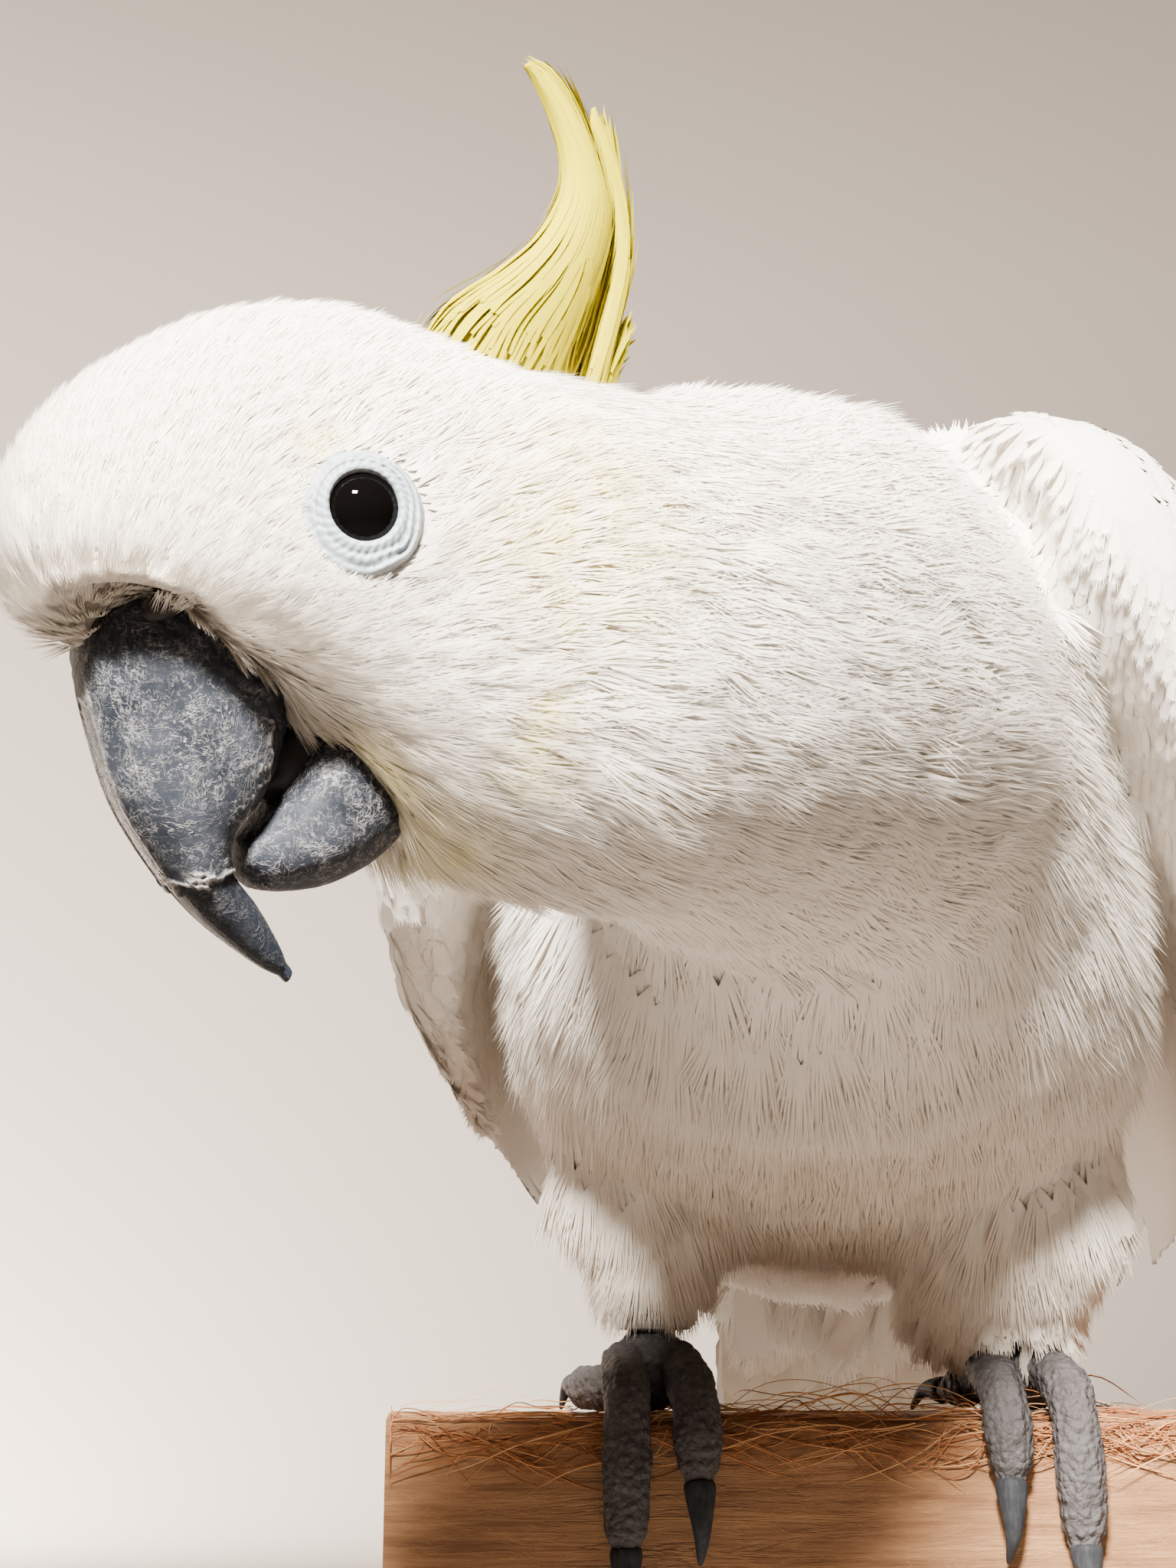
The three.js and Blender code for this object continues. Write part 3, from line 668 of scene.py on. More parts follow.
class Pattern:
    """The shape of one feather, flat. A corner is its place along from 0 to 1 and across from -1 to 1,
    how far it follows the chance bend of its barb, and the number of that barb, 0 for the web."""

    def __init__(self, aspect):
        self.aspect = aspect
        self.corners = []
        self.faces = []
        self.barbs = 1

    def hair(self, base, tip, half):
        """One barb, a long narrow triangle."""
        way = np.array(((tip[0] - base[0]) * self.aspect, tip[1] - base[1]))
        across = np.array((-way[1] / self.aspect, way[0])) / np.hypot(*way) * half
        n = len(self.corners)
        self.corners.append((base[0] - across[0], base[1] - across[1], 0.0, self.barbs))
        self.corners.append((base[0] + across[0], base[1] + across[1], 0.0, self.barbs))
        self.corners.append((*tip, 1.0, self.barbs))
        self.faces.append((n, n + 2, n + 1))
        self.barbs += 1

    def vane(self, rows):
        """The closed web of the feather either side of its shaft; a row is along, half width."""
        first = len(self.corners)
        for along, half in rows:
            self.corners += [(along, -half, 0.0, 0), (along, 0.0, 0.0, 0), (along, half, 0.0, 0)]
        for i in range(len(rows) - 1):
            for k in (0, 1):
                n = first + 3 * i + k
                self.faces.append((n, n + 3, n + 4, n + 1))


def tuft(barbs, half=0.075):
    """A small soft feather, from the face to the breast: a fan of single barbs."""
    pattern = Pattern(3.4)
    for v in np.linspace(-1, 1, barbs):
        pattern.hair((0.04 + 0.2 * (1 - abs(v)), 0.32 * v), (1 - 0.2 * v * v, v), half)
    return pattern


def contour(pairs, web):
    """A contour feather: a short web with a soft fringe of free barbs round its edge and tip."""
    pattern = Pattern(3.4)
    rows = [(0.0, 0.22), (0.18, 0.55), (0.36, 0.70), (0.54, 0.70), (0.68, 0.54), (0.76, 0.24)]
    pattern.vane([(u, half * web) for u, half in rows])
    along = [row[0] for row in rows]
    half = [row[1] for row in rows]
    for k in range(pairs):
        f = (k + 0.5) / pairs
        u = 0.14 + 0.54 * f
        edge = np.interp(u, along, half) * web
        for side in (-1, 1):
            tip = (u + 0.19 + 0.06 * f, side * (edge + 0.19 - 0.06 * f))
            pattern.hair((u - 0.05, side * edge * 0.8), tip, 0.06)
    for v in np.linspace(-0.55, 0.55, 12):
        pattern.hair((0.62 - 0.2 * abs(v), v * 0.75), (0.97 - 0.34 * v * v, v), 0.055)
    return pattern


def spine_chart(points):
    """Place of each point on an unwrap of the skin: along the spine, and round it."""
    index = along_spine(points)
    out = points - spine[index]
    side = np.array([0.0, 0.0, 1.0]) - spine_way[index] * spine_way[index][:, 2:3]
    side /= np.linalg.norm(side, axis=1, keepdims=True)
    other = np.cross(spine_way[index], side)
    round_it = np.arctan2((out * other).sum(1), (out * side).sum(1)) / (2 * pi) + 0.5
    return np.stack([0.02 + 0.96 * spine_reach[index] / spine_reach[-1], 0.02 + 0.96 * round_it], 1)


BAKE_PATCH = 0.003


def keep_values(mesh, **values):
    """Keeps a number at each point of the mesh, for its material to read."""
    for key, value in values.items():
        attribute = mesh.attributes.new(key, "FLOAT", "POINT")
        attribute.data.foreach_set("value", np.ravel(value).astype(np.float32))


def joined_mesh(name, points, polygons, patch, chart, normals, values):
    """Many copies of one small mesh as a single piece.
    points and normals are copies x corners x 3, patch is corners' places in the tuft from 0 to 1."""
    copies, corners = points.shape[:2]
    sizes = np.array([len(p) for p in polygons])
    flat = np.concatenate([np.array(p) for p in polygons])
    loops = (flat[None] + (np.arange(copies) * corners)[:, None]).ravel()
    totals = np.tile(sizes, copies)
    mesh = bpy.data.meshes.new(name)
    mesh.vertices.add(copies * corners)
    mesh.vertices.foreach_set("co", points.astype(np.float32).ravel())
    mesh.loops.add(len(loops))
    mesh.loops.foreach_set("vertex_index", loops.astype(np.int32))
    mesh.polygons.add(len(totals))
    mesh.polygons.foreach_set("loop_start", np.concatenate(([0], np.cumsum(totals)[:-1])).astype(np.int32))
    mesh.polygons.foreach_set("use_smooth", np.ones(len(totals), bool))
    mesh.update(calc_edges=True)
    place = (chart[:, None] + (patch - 0.5) * BAKE_PATCH).reshape(-1, 2)
    layer = mesh.uv_layers.new(name="OFBake")
    layer.uv.foreach_set("vector", place[loops].astype(np.float32).ravel())
    keep_values(mesh, **values)
    mesh.normals_split_custom_set_from_vertices(normals.reshape(-1, 3).astype(np.float32))
    piece = bpy.data.objects.new(name, mesh)
    bpy.context.collection.objects.link(piece)
    return piece


def grow(name, roots, normals, lies, pattern, length, width, tilt, curl, loose, round_over, seed):
    """A coat piece: one feather of the pattern on each root. Lengths are in mm, tilt in radians;
    round_over is how far its sides turn away from the light."""
    rng = np.random.default_rng(seed)
    count = len(roots)
    corners = np.array([c[:3] for c in pattern.corners])
    barb = np.array([c[3] for c in pattern.corners])
    turn = (rng.normal(0, 1, count) * (0.05 + 0.35 * loose))[:, None]
    side = np.cross(normals, lies)
    lies, side = lies * np.cos(turn) + side * np.sin(turn), side * np.cos(turn) - lies * np.sin(turn)
    length = (length * rng.normal(1, 0.07, count))[:, None]
    width = (width * rng.normal(1, 0.07, count))[:, None]
    tilt = tilt + rng.normal(0, 0.03 + 0.08 * loose, count)
    chance = rng.normal(0, 1, (3, count, pattern.barbs))[:, :, barb] * corners[:, 2]
    u = corners[:, 0] + chance[0] * (0.03 + 0.08 * loose)
    v = corners[:, 1] + chance[1] * (0.07 + 0.25 * loose)
    rise = chance[2] * (0.010 + 0.05 * loose)
    height = np.sin(tilt)[:, None] * u - curl * u ** 2 - 0.12 * v ** 2 * width / length + rise
    height = height * length + 0.1
    points = (roots[:, None] + lies[:, None] * (u * length)[..., None] * MM
              + side[:, None] * (v * width / 2)[..., None] * MM + normals[:, None] * height[..., None] * MM)
    nod = (rng.normal(0, 0.45, (count, 1)) + chance[2] * 0.5) * round_over
    facing = normals[:, None] + side[:, None] * (round_over * v)[..., None]
    facing = facing - lies[:, None] * (0.06 + nod)[..., None]
    facing = facing / np.linalg.norm(facing, axis=2, keepdims=True)
    patch = np.stack([np.clip(v * 0.5 + 0.5, 0, 1), np.clip(u, 0, 1)], 2)
    tone = np.broadcast_to(rng.random(count)[:, None], u.shape)
    values = {"along": u, "across": v, "tone": tone}
    return joined_mesh(name, points, pattern.faces, patch, spine_chart(roots), facing, values)


def feather_finish():
    look = new_finish("white_plumage")
    along = look.attribute("along")
    tone = look.attribute("tone")
    plain = plumage_tint(look, (0.93, 0.88, 0.80))
    # Painted shade: each feather is darker towards its root, where the feathers over it cover it.
    root_shaded = look.mix(look.clamp(1 - along * 1.7) * 0.5, plain, (0.80, 0.74, 0.66))
    varied = look.mix(tone * 0.25, root_shaded, (0.88, 0.82, 0.74))
    return look.set(Base_Color=varied, Roughness=0.8, Specular_IOR_Level=0.2)


white_plumage = feather_finish()


EYE_RING_RADIUS = 7.0


def ring_clear(points):
    """Distance in mm of each point from the rim of the nearer bare eye ring, below 0 inside it."""
    near = np.full(len(points), 99.0)
    for word in ("left", "right"):
        away = np.linalg.norm(points - middle(f"eye_ring_{word}"), axis=1) / MM
        near = np.minimum(near, away - EYE_RING_RADIUS)
    return near


def cere_clear(points):
    """Distance in mm of each point from the bare patch round the nearer nostril."""
    near = np.full(len(points), 99.0)
    for side in (1, -1):
        away = head_view(points) - np.array((NOSTRIL[0], side * NOSTRIL[1], NOSTRIL[2]))
        near = np.minimum(near, np.linalg.norm(away * (0.75, 0.6, 1.25), axis=1) - CERE_REACH)
    return near


# Length, width and spacing of the feathers in mm at each distance along the spine
LENGTH_REACH = [0, 20, 40, 55, 75, 100, 130, 180, 400]
FEATHER_LENGTH = [4.5, 5.5, 7.5, 10, 14, 18, 21, 23, 24]
FEATHER_WIDTH = [2.6, 3.2, 4.0, 5.6, 8.5, 11, 12.5, 14, 15]
SPACING = [0.78, 0.88, 1.1, 1.45, 2.0, 2.5, 2.9, 3.2, 3.5]
NECK_START = 62
BODY_START = 128


def region_masks(points, normals):
    """For each region the points that belong to it, and all points' distances along the spine."""
    reach = spine_reach[along_spine(points)]
    body = trunk_view(points)
    up = normals @ head_axes[2]
    masks = {
        "face": (reach < NECK_START) & (up < 0.45),
        "crown": (reach < NECK_START) & (up >= 0.45),
        "neck": (reach >= NECK_START) & (reach < BODY_START),
        "breast": (reach >= BODY_START) & (normals[:, 2] < 0.25) & (body[:, 0] > 20),
        "belly": (reach >= BODY_START) & (normals[:, 2] < 0.25) & (body[:, 0] <= 20),
        "back": (reach >= BODY_START) & (normals[:, 2] >= 0.25),
    }
    return masks, reach


def bill_clear(points, wanted):
    """Distance in mm from the bill of the points that are wanted."""
    found = np.full(len(points), 99.0)
    found[wanted] = distance_to(bills, points[wanted])
    return found


def coat_region(region, seed):
    """One region's feathers, set against the bare places, the legs, the vent and the wings."""
    small = region in ("face", "crown")

    def spacing(points, normals):
        masks, reach = region_masks(points, normals)
        gap = np.interp(reach, LENGTH_REACH, SPACING) * (0.82 if region in ("neck", "breast", "belly") else 1)
        if region in ("breast", "belly"):
            gap = gap * (1 - 0.25 * (distance_to(thigh_nodes, points) < 6))
        bare = (ring_clear(points) < 0.2) | (cere_clear(points) < 0) | ~masks[region]
        if small:
            bare |= bill_clear(points, ~bare) < 0.5
        else:
            bare[~bare] = is_wing(points[~bare])
        return np.where(bare, 0, gap * MM)

    roots, normals = scatter(skin, spacing, seed)
    index = along_spine(roots)
    reach = spine_reach[index]
    lies, pull = lie_of(roots, normals, index)
    length = np.interp(reach, LENGTH_REACH, FEATHER_LENGTH)
    width = np.interp(reach, LENGTH_REACH, FEATHER_WIDTH)
    body = trunk_view(roots)
    legs = smoothstep(-body[:, 2], -60, -30) * (reach > 90) * (distance_to(thigh_nodes, roots) < 8)
    shank = smoothstep(-body[:, 2], -36, -22) * (reach > 90) * (body[:, 0] > -45)
    length = length * (1 - 0.45 * legs) * (1 - 0.3 * shank)
    width = width * (1 - 0.4 * legs) * (1 - 0.3 * shank)
    vent = smoothstep(-body[:, 0], 40, 80) * (reach > 90)
    length = length * (1 + 0.3 * vent) * (0.35 + 0.65 * smoothstep(pull, 0.1, 0.55))
    if not small:
        length = length * (0.6 + 0.4 * smoothstep(distance_to(wing_nodes, roots), 4, 12))
    clear = ring_clear(roots)
    side = np.sign(head_view(roots)[:, 1])
    eye_way = np.array([middle("eye_left" if one > 0 else "eye_right") for one in side]) - roots
    toward = (lies * eye_way).sum(1) > 0.15 * np.linalg.norm(eye_way, axis=1)
    length = np.where(toward, np.minimum(length, 1.3 + 0.85 * np.maximum(clear, 0)), length)
    pattern = tuft(*FAN[region]) if region in FAN else contour(BARB_PAIRS, WEB[region])
    loose = LOOSE[region]
    depth = np.interp(reach, DEPTH_REACH, DEPTH_OF_COAT)
    curl = 0.12 if small else 0.06
    tilt = np.arcsin(np.clip(depth * (1.5 if small else 1.3) / length, 0, 0.6)) + 0.2 * legs + 0.06 * vent
    piece = grow(f"coat_{region}", roots, normals, lies, pattern, length, width, tilt, curl, loose,
                 0.2 if small else 0.1, seed + 1)
    piece.data.materials.append(white_plumage)
    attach(piece, "root")


BRISTLE_GAP = 1.0
BRISTLE_LENGTH = 2.9
BRISTLE_TILT = 0.62


def bristle_feathers():
    """Stiff sparse feathers that stand round each nostril and arch over it."""
    def spacing(points, normals):
        clear = cere_clear(points)
        near = (clear > -0.9) & (clear < 1.6)
        near[near] = distance_to(bills, points[near]) > 0.5
        return np.where(near & (head_view(points)[:, 2] > NOSTRIL[2]), BRISTLE_GAP * MM, 0)

    roots, normals = scatter(skin, spacing, 190)
    side = np.sign(head_view(roots)[:, 1])[:, None]
    centre = np.array([on_head(NOSTRIL[0], one * NOSTRIL[1], NOSTRIL[2]) for one in side[:, 0]])
    way = centre - roots
    way = way / np.linalg.norm(way, axis=1, keepdims=True) * 0.7 + head_axes[0] * 0.35 - head_axes[2] * 0.2
    lies = way - normals * (way * normals).sum(1, keepdims=True)
    lies /= np.linalg.norm(lies, axis=1, keepdims=True)
    size = np.full(len(roots), BRISTLE_LENGTH)
    tilt = np.full(len(roots), BRISTLE_TILT)
    piece = grow("coat_bristles", roots, normals, lies, tuft(9), size, size * 0.45, tilt, 0.25, 0.8,
                 0.2, 191)
    piece.data.materials.append(white_plumage)
    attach(piece, "root")


for number, region in enumerate(("face", "crown", "neck", "breast", "belly", "back")):
    coat_region(region, 100 + 10 * number)
bristle_feathers()


# ---------------------------------------------------------------- wings
# Each folded wing carries rows of rounded coverts like tiles, and under them the long
# secondaries and primaries, each one thin web with a shaft. A bed of down lies under the
# coverts, and small dense feathers go round the leading edge.
def smooth_path(rows, steps):
    """Catmull-Rom curve through the rows, read at even steps."""
    rows = np.array(rows, float)
    ends = np.vstack((2 * rows[0] - rows[1], rows, 2 * rows[-1] - rows[-2]))
    out = []
    for s in np.linspace(0, len(rows) - 1.0001, steps):
        i, f = int(s), s - int(s)
        a, b, c, d = ends[i:i + 4]
        out.append(0.5 * (2 * b + (c - a) * f + (2 * a - 5 * b + 4 * c - d) * f * f
                          + (3 * b - a - 3 * c + d) * f ** 3))
    return np.array(out)


class Sheet:
    """A curved face charted in even steps: down it from 0 in mm, and across it from 0 to 1."""

    def __init__(self, grid, outward):
        self.grid = grid
        middle_row = grid[:, grid.shape[1] // 2]
        steps = np.linalg.norm(np.diff(middle_row, axis=0), axis=1)
        self.down = np.concatenate(([0], np.cumsum(steps)))
        self.breadth = np.linalg.norm(np.diff(grid, axis=1), axis=2).sum(1)
        normal = np.cross(np.gradient(grid, axis=0), np.gradient(grid, axis=1))
        self.turn = np.sign((normal @ np.array(outward)).mean())
        self.normal = normal * self.turn / np.maximum(np.linalg.norm(normal, axis=2, keepdims=True), 1e-9)

    def read(self, field, down, across):
        i = np.interp(down, self.down, np.arange(len(self.down)))
        j = np.clip(across, 0, 1) * (field.shape[1] - 1)
        i0 = np.clip(i.astype(int), 0, field.shape[0] - 2)
        j0 = np.clip(j.astype(int), 0, field.shape[1] - 2)
        f, g = (i - i0)[..., None], (j - j0)[..., None]
        return ((field[i0, j0] * (1 - f) + field[i0 + 1, j0] * f) * (1 - g)
                + (field[i0, j0 + 1] * (1 - f) + field[i0 + 1, j0 + 1] * f) * g)

    def at(self, down, across):
        normal = self.read(self.normal, down, across)
        return self.read(self.grid, down, across), normal / np.linalg.norm(normal, axis=-1, keepdims=True)

    def width_at(self, down):
        return np.interp(down, self.down, self.breadth)


SLICES = 44
SLICE_STEP = 2.0
LOOK_IN = {"left": (0.80, 0.42, 0.43), "right": (0.80, -0.42, 0.43)}


def wing_sheet(word):
    """The outer face of one wing in mm. It starts along the leading edge, goes round the bend of
    the wing and back to its end, read off the wing's solid from outside in even slices."""
    tree = surface_of(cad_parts[f"wing_{word}"])
    inward = -np.array(LOOK_IN[word])
    inward /= np.linalg.norm(inward)
    flow = np.array((-0.93, 0, -0.37))
    flow -= inward * (flow @ inward)
    flow /= np.linalg.norm(flow)
    side = 1 if word == "left" else -1
    across = np.cross(flow, inward) * side
    centre = trunk_view(np.array([middle(f"wing_{word}")]))[0]

    def hit(p, q):
        start = centre + flow * p + across * q - inward * 300
        found = tree.ray_cast(Vector(on_trunk(*start)), Vector(inward @ trunk_axes))[0]
        return None if found is None else trunk_view(np.array([found]))[0]

    stations = np.arange(-190, 190, 3.0)
    spans = []
    for p in stations:
        hits = [q for q in np.arange(-75, 75, 1.5) if hit(p, q) is not None]
        spans.append((hits[0], hits[-1]) if len(hits) > 3 else None)
    used = [i for i, span in enumerate(spans) if span]
    low = np.array([spans[i][0] for i in used])
    high = np.array([spans[i][1] for i in used])
    widest = int((high - low).argmax())
    low[:widest], high[:widest] = low[widest], high[widest]
    for _ in range(6):
        low[1:-1] = (low[:-2] + 2 * low[1:-1] + low[2:]) / 4
        high[1:-1] = (high[:-2] + 2 * high[1:-1] + high[2:]) / 4
    slices = []
    for c in np.linspace(0.035, 0.965, SLICES):
        path = []
        for i, station in enumerate(stations[used]):
            for part in (0, 1.5):
                spot = np.interp(station + part, stations[used], low + (high - low) * c)
                found = hit(station + part, spot)
                if found is not None:
                    path.append(found)
        path = np.array(path)
        for _ in range(10):
            path[1:-1] = (path[:-2] + 2 * path[1:-1] + path[2:]) / 4
        reach = np.concatenate(([0], np.cumsum(np.linalg.norm(np.diff(path, axis=0), axis=1))))
        slices.append((path, reach))
    longest = int(np.percentile([reach[-1] for _, reach in slices], 70) / SLICE_STEP)
    grid = np.empty((longest, SLICES, 3))
    for j, (path, reach) in enumerate(slices):
        want = np.arange(longest) * SLICE_STEP
        for k in range(3):
            grid[:, j, k] = np.interp(want, reach, path[:, k])
        over = np.maximum(want - reach[-1], 0)
        way = path[-1] - path[-8]
        grid[:, j] += over[:, None] * way / np.linalg.norm(way)
    for _ in range(12):
        grid[1:-1] = (grid[:-2] + 2 * grid[1:-1] + grid[2:]) / 4
        grid[:, 1:-1] = (grid[:, :-2] + 2 * grid[:, 1:-1] + grid[:, 2:]) / 4
    sheet = Sheet(grid, -inward)
    sheet.side = side
    return sheet


LAID_ROWS = 15
LAID_COLUMNS = 8


def web_outline(kind):
    """Half width of the web along the feather, for a rounded covert or a long flight feather."""
    u = np.linspace(0, 1, LAID_ROWS)
    round_from, bow = (0.45, 2.2) if kind == "covert" else (0.74, 2.0)
    end = np.clip(1 - np.clip((u - round_from) / (1 - round_from), 0, 1) ** bow, 0, 1)
    return (0.6 + 0.4 * smoothstep(u, 0, 0.3)) * np.sqrt(end)


def lay_feathers(name, plans, sheet, seed, finish):
    """Thin webs that follow a sheet. A plan is distance down the sheet, length, place across at root
    and tip, width, kind, height of root and tip over the sheet, and how far one edge stands higher."""
    rng = np.random.default_rng(seed)
    v_line = np.linspace(-1, 1, LAID_COLUMNS + 1)
    u_line = np.linspace(0, 1, LAID_ROWS)
    u, v = np.meshgrid(u_line, v_line, indexing="ij")
    points, facing, charts = [], [], []
    longest = sheet.down[-1]
    for down, length, root_at, tip_at, width, kind, low, high, roll in plans:
        half = web_outline(kind)[:, None] * width / 2
        fray = 1 + rng.normal(0, 0.015, u.shape) * (u > 0.4) * (np.abs(v) > 0.9)
        away = np.minimum(down + length * u - 0.06 * length * v * v * (kind == "covert"), longest)
        offset = half * v * fray
        drift = root_at + (tip_at - root_at) * u ** 1.2
        across = drift + offset / np.maximum(sheet.width_at(away), width * 0.8)
        place, normal = sheet.at(away, across)
        shaft = 0.22 * np.maximum(0, 1 - np.abs(v) * 5) * (1 - 0.7 * u)
        height = low + (high - low) * u ** 0.8 + roll * v + shaft - 0.02 * width * v * v
        place = place + normal * height[..., None]
        tangent = np.gradient(place, axis=1)
        tangent /= np.maximum(np.linalg.norm(tangent, axis=2, keepdims=True), 1e-9)
        lean = normal + tangent * (0.14 * v)[..., None]
        points.append(place)
        facing.append(lean / np.linalg.norm(lean, axis=2, keepdims=True))
        charts.append((0.03 + 0.94 * down / longest, 0.08 + 0.84 * min(max(root_at, 0), 1.1) / 1.1))
    count = len(plans)
    faces = []
    for i in range(LAID_ROWS - 1):
        for j in range(LAID_COLUMNS):
            n = i * (LAID_COLUMNS + 1) + j
            quad = (n, n + LAID_COLUMNS + 1, n + LAID_COLUMNS + 2, n + 1)
            faces.append(quad if sheet.turn > 0 else quad[::-1])
    patch = np.tile(np.stack([v * 0.5 + 0.5, u], 2).reshape(1, -1, 2), (count, 1, 1))
    tone = np.repeat(rng.random(count)[:, None], u.size, 1)
    values = {"along": np.tile(u.ravel(), (count, 1)), "across": np.tile(v.ravel(), (count, 1)),
              "tone": tone}
    points = np.array(points).reshape(count, -1, 3) * MM @ trunk_axes + trunk_at
    facing = np.array(facing).reshape(count, -1, 3) @ trunk_axes
    piece = joined_mesh(name, points, faces, patch, np.array(charts), facing, values)
    piece.data.materials.append(finish)
    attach(piece, "root")
    return piece


ROW_FIRST = 0.05
ROW_LAST = 0.96


def covert_row(down, length, count, width, low, high, chance, shift=0.0, stray=1.2):
    """One row of coverts across the wing from its upper to its lower edge, each a little over the next."""
    plans = []
    for k in range(count):
        across = ROW_FIRST + (ROW_LAST - ROW_FIRST) * (k + 0.5 + shift) / count
        jitter = chance.normal(0, 1, 3)
        plans.append((down + jitter[0] * stray, length * (1 + 0.04 * jitter[1]), across,
                      across + 0.015 * jitter[2], width, "covert", low, high, 0.35))
    return plans


COVERT_START = 1
COVERT_END = 92


def covert_plans(sheet, seed):
    rng = np.random.default_rng(seed)
    plans = []
    down, number = COVERT_START, 0
    while down < COVERT_END:
        grown = down / COVERT_END
        width = 9 + 11 * smoothstep(down, 0, 55)
        count = max(3, int(round(sheet.width_at(down + 6) / (width * 0.62))))
        sunk = 2.4 * (1 - smoothstep(down, 0, 12))
        plans += covert_row(down, 13 + 22 * grown, count, width, -0.5 - sunk, 0.5, rng,
                            shift=0.5 * (number % 2) - 0.25, stray=0.8)
        down += 5 + 7.5 * grown
        number += 1
    plans += covert_row(102, 46, 8, 23, -0.8, 0.4, rng, shift=0.3)
    plans += covert_row(116, 58, 8, 23, -0.9, 0.3, rng)
    return plans


def flight_plans(sheet, seed):
    rng = np.random.default_rng(seed)
    end = sheet.down[-1]
    plans = []
    for k in range(9):
        plans.append((128 - 2 * k + rng.normal(), 100 + 3 * k, 0.04 + 0.11 * k, 0.10 + 0.10 * k, 25, "flight",
                      -1.4, 0.0, 0.35))
    for k in range(7):
        start = 132 + 4 * k
        plans.append((start, end - start - 9 * (6 - k), 0.96 - 0.07 * k, 0.94 - 0.10 * k, 22, "flight",
                      -2.0 - 0.1 * k, -0.8 - 0.1 * k, -0.3))
    for k in range(6):
        start = 140 + 6 * k
        plans.append((start, min(104 + 4 * k, end - start), 0.10 + 0.12 * k, 0.22 + 0.11 * k, 24, "flight",
                      -2.4, -1.0, 0.3))
    return plans


def web_finish(name, light, shade_tone):
    look = new_finish(name)
    along = look.attribute("along")
    across = look.attribute("across")
    tone = look.attribute("tone")
    out = look.math("ABSOLUTE", across)
    lines = look.math("SINE", (along * 22 - out * 3.2 + tone * 6) * 2 * pi)
    fuzz = look.noise(look.place(), 800, 3)
    plain = look.mix(tone * 0.3, light, tuple(c * 0.96 for c in light))
    # Painted shade: each web is darker towards its root, where the feather over it covers it, and a little
    # darker at its edges.
    shaded = look.clamp(2.2 - along * 2.5) * 0.6 + look.clamp(out * 5 - 4.1) * 0.2
    deep = look.mix(shaded, plain, shade_tone)
    return look.set(Base_Color=deep, Roughness=0.62, Specular_IOR_Level=0.3,
                    Normal=look.bump(lines * 0.12 + fuzz, 0.22, 0.0003))


EDGE_GAP = 1.9
EDGE_COVERED = 5.6
EDGE_TILT = 0.065


def edge_feathers(word, sheet, seed):
    """The small dense feathers that round the wing's leading edge, bend and inner face."""
    cover = KDTree(sheet.grid.shape[0] * sheet.grid.shape[1])
    world = sheet.grid.reshape(-1, 3) * MM @ trunk_axes + trunk_at
    for i, p in enumerate(world):
        cover.insert(p, i)
    cover.balance()
    columns = sheet.grid.shape[1]

    def spacing(points, normals):
        body = trunk_view(points)
        here = (body[:, 1] * sheet.side > 15) & (body[:, 0] > -24) & (body[:, 2] > 40)
        here[here] = is_wing(points[here])
        for n in np.flatnonzero(here):
            _, i, away = cover.find(points[n])
            row, column = divmod(i, columns)
            covered = away < EDGE_COVERED * MM and 1 < column < columns - 2 and sheet.down[row] > 5
            here[n] = not covered
        return np.where(here, EDGE_GAP * MM, 0)

    roots, normals = scatter(skin, spacing, seed)
    way = -trunk_axes[0] * 0.92 - trunk_axes[2] * 0.39
    flow = way - normals * (normals @ way)[:, None]
    pull = np.linalg.norm(flow, axis=1)
    flow /= pull[:, None]
    body = trunk_view(roots)
    length = (7 + 10 * smoothstep(125 - body[:, 0], 20, 90)) * (0.4 + 0.6 * smoothstep(pull, 0.1, 0.6))
    tilt = np.full(len(roots), EDGE_TILT)
    piece = grow(f"wing_{word}_edge", roots, normals, flow, contour(11, 0.9), length, length * 0.42, tilt, 0.10,
                 0.02, 0.12, seed + 1)
    piece.data.materials.append(wing_web)
    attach(piece, "root")


WING_BED_END = -112
WING_BED_DEPTH = 1.5


def lay_bed(word):
    """The short down under the coverts, which closes the slits between them."""
    bed = wing_front(f"wing_{word}_bed", word, WING_BED_END)
    refine(bed, SKIN_VOXEL, 4)
    move_points(bed, coordinates(bed) - vertex_normals(bed) * WING_BED_DEPTH * MM)
    bpy.ops.object.shade_smooth()
    # Its mesh has no along values, so it takes the full painted root shade of white_plumage.
    bed.data.materials.append(white_plumage)
    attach(bed, "root")


# The second colour is the painted shade of the wing webs.
wing_web = web_finish("wing_web", (0.93, 0.89, 0.825), (0.72, 0.66, 0.575))
for number, word in enumerate(("left", "right")):
    sheet = wing_sheet(word)
    lay_feathers(f"wing_{word}_flights", flight_plans(sheet, 500 + number), sheet, 510 + number, wing_web)
    coverts = lay_feathers(f"wing_{word}_coverts", covert_plans(sheet, 520 + number), sheet, 530 + number,
                           wing_web)
    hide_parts(f"wing_{word}")
    edge_feathers(word, sheet, 540 + 2 * number)
    lay_bed(word)


# ---------------------------------------------------------------- tail
# Twelve broad feathers fan a little from the rump. The middle pair lies on top and each
# outer one slips under its neighbour; short coverts close the root above and below.
TAIL_PAIRS = 6
TAIL_FEATHER_WIDTH = 21
# A row is x, height, half width, half thickness, in the trunk's frame
TAIL = [(-90, 44, 27, 9), (-98, 40, 30, 8), (-122, 24, 33, 7), (-155, 4, 35, 5), (-190, -17, 38, 3.4),
        (-220, -34, 39, 2.2), (-236, -43, 34, 1.4), (-242, -46.5, 30, 0.8)]


def tail_sheet(way):
    """The upper (way 1) or lower (way -1) face of the tail, across from one edge (0) to the other (1)."""
    grid = []
    for x, level, half, thick in smooth_path(TAIL, 60):
        y = np.linspace(-1, 1, 41) * half
        lift = way * thick * (1 - np.abs(y / half) ** 2.4) ** (1 / 2.4) * 0.95 - 0.004 * y * y
        grid.append(np.stack([x + lift * 0.5, y, level + lift * 0.86], 1))
    return Sheet(np.array(grid), (0.5 * way, 0, 0.86 * way))


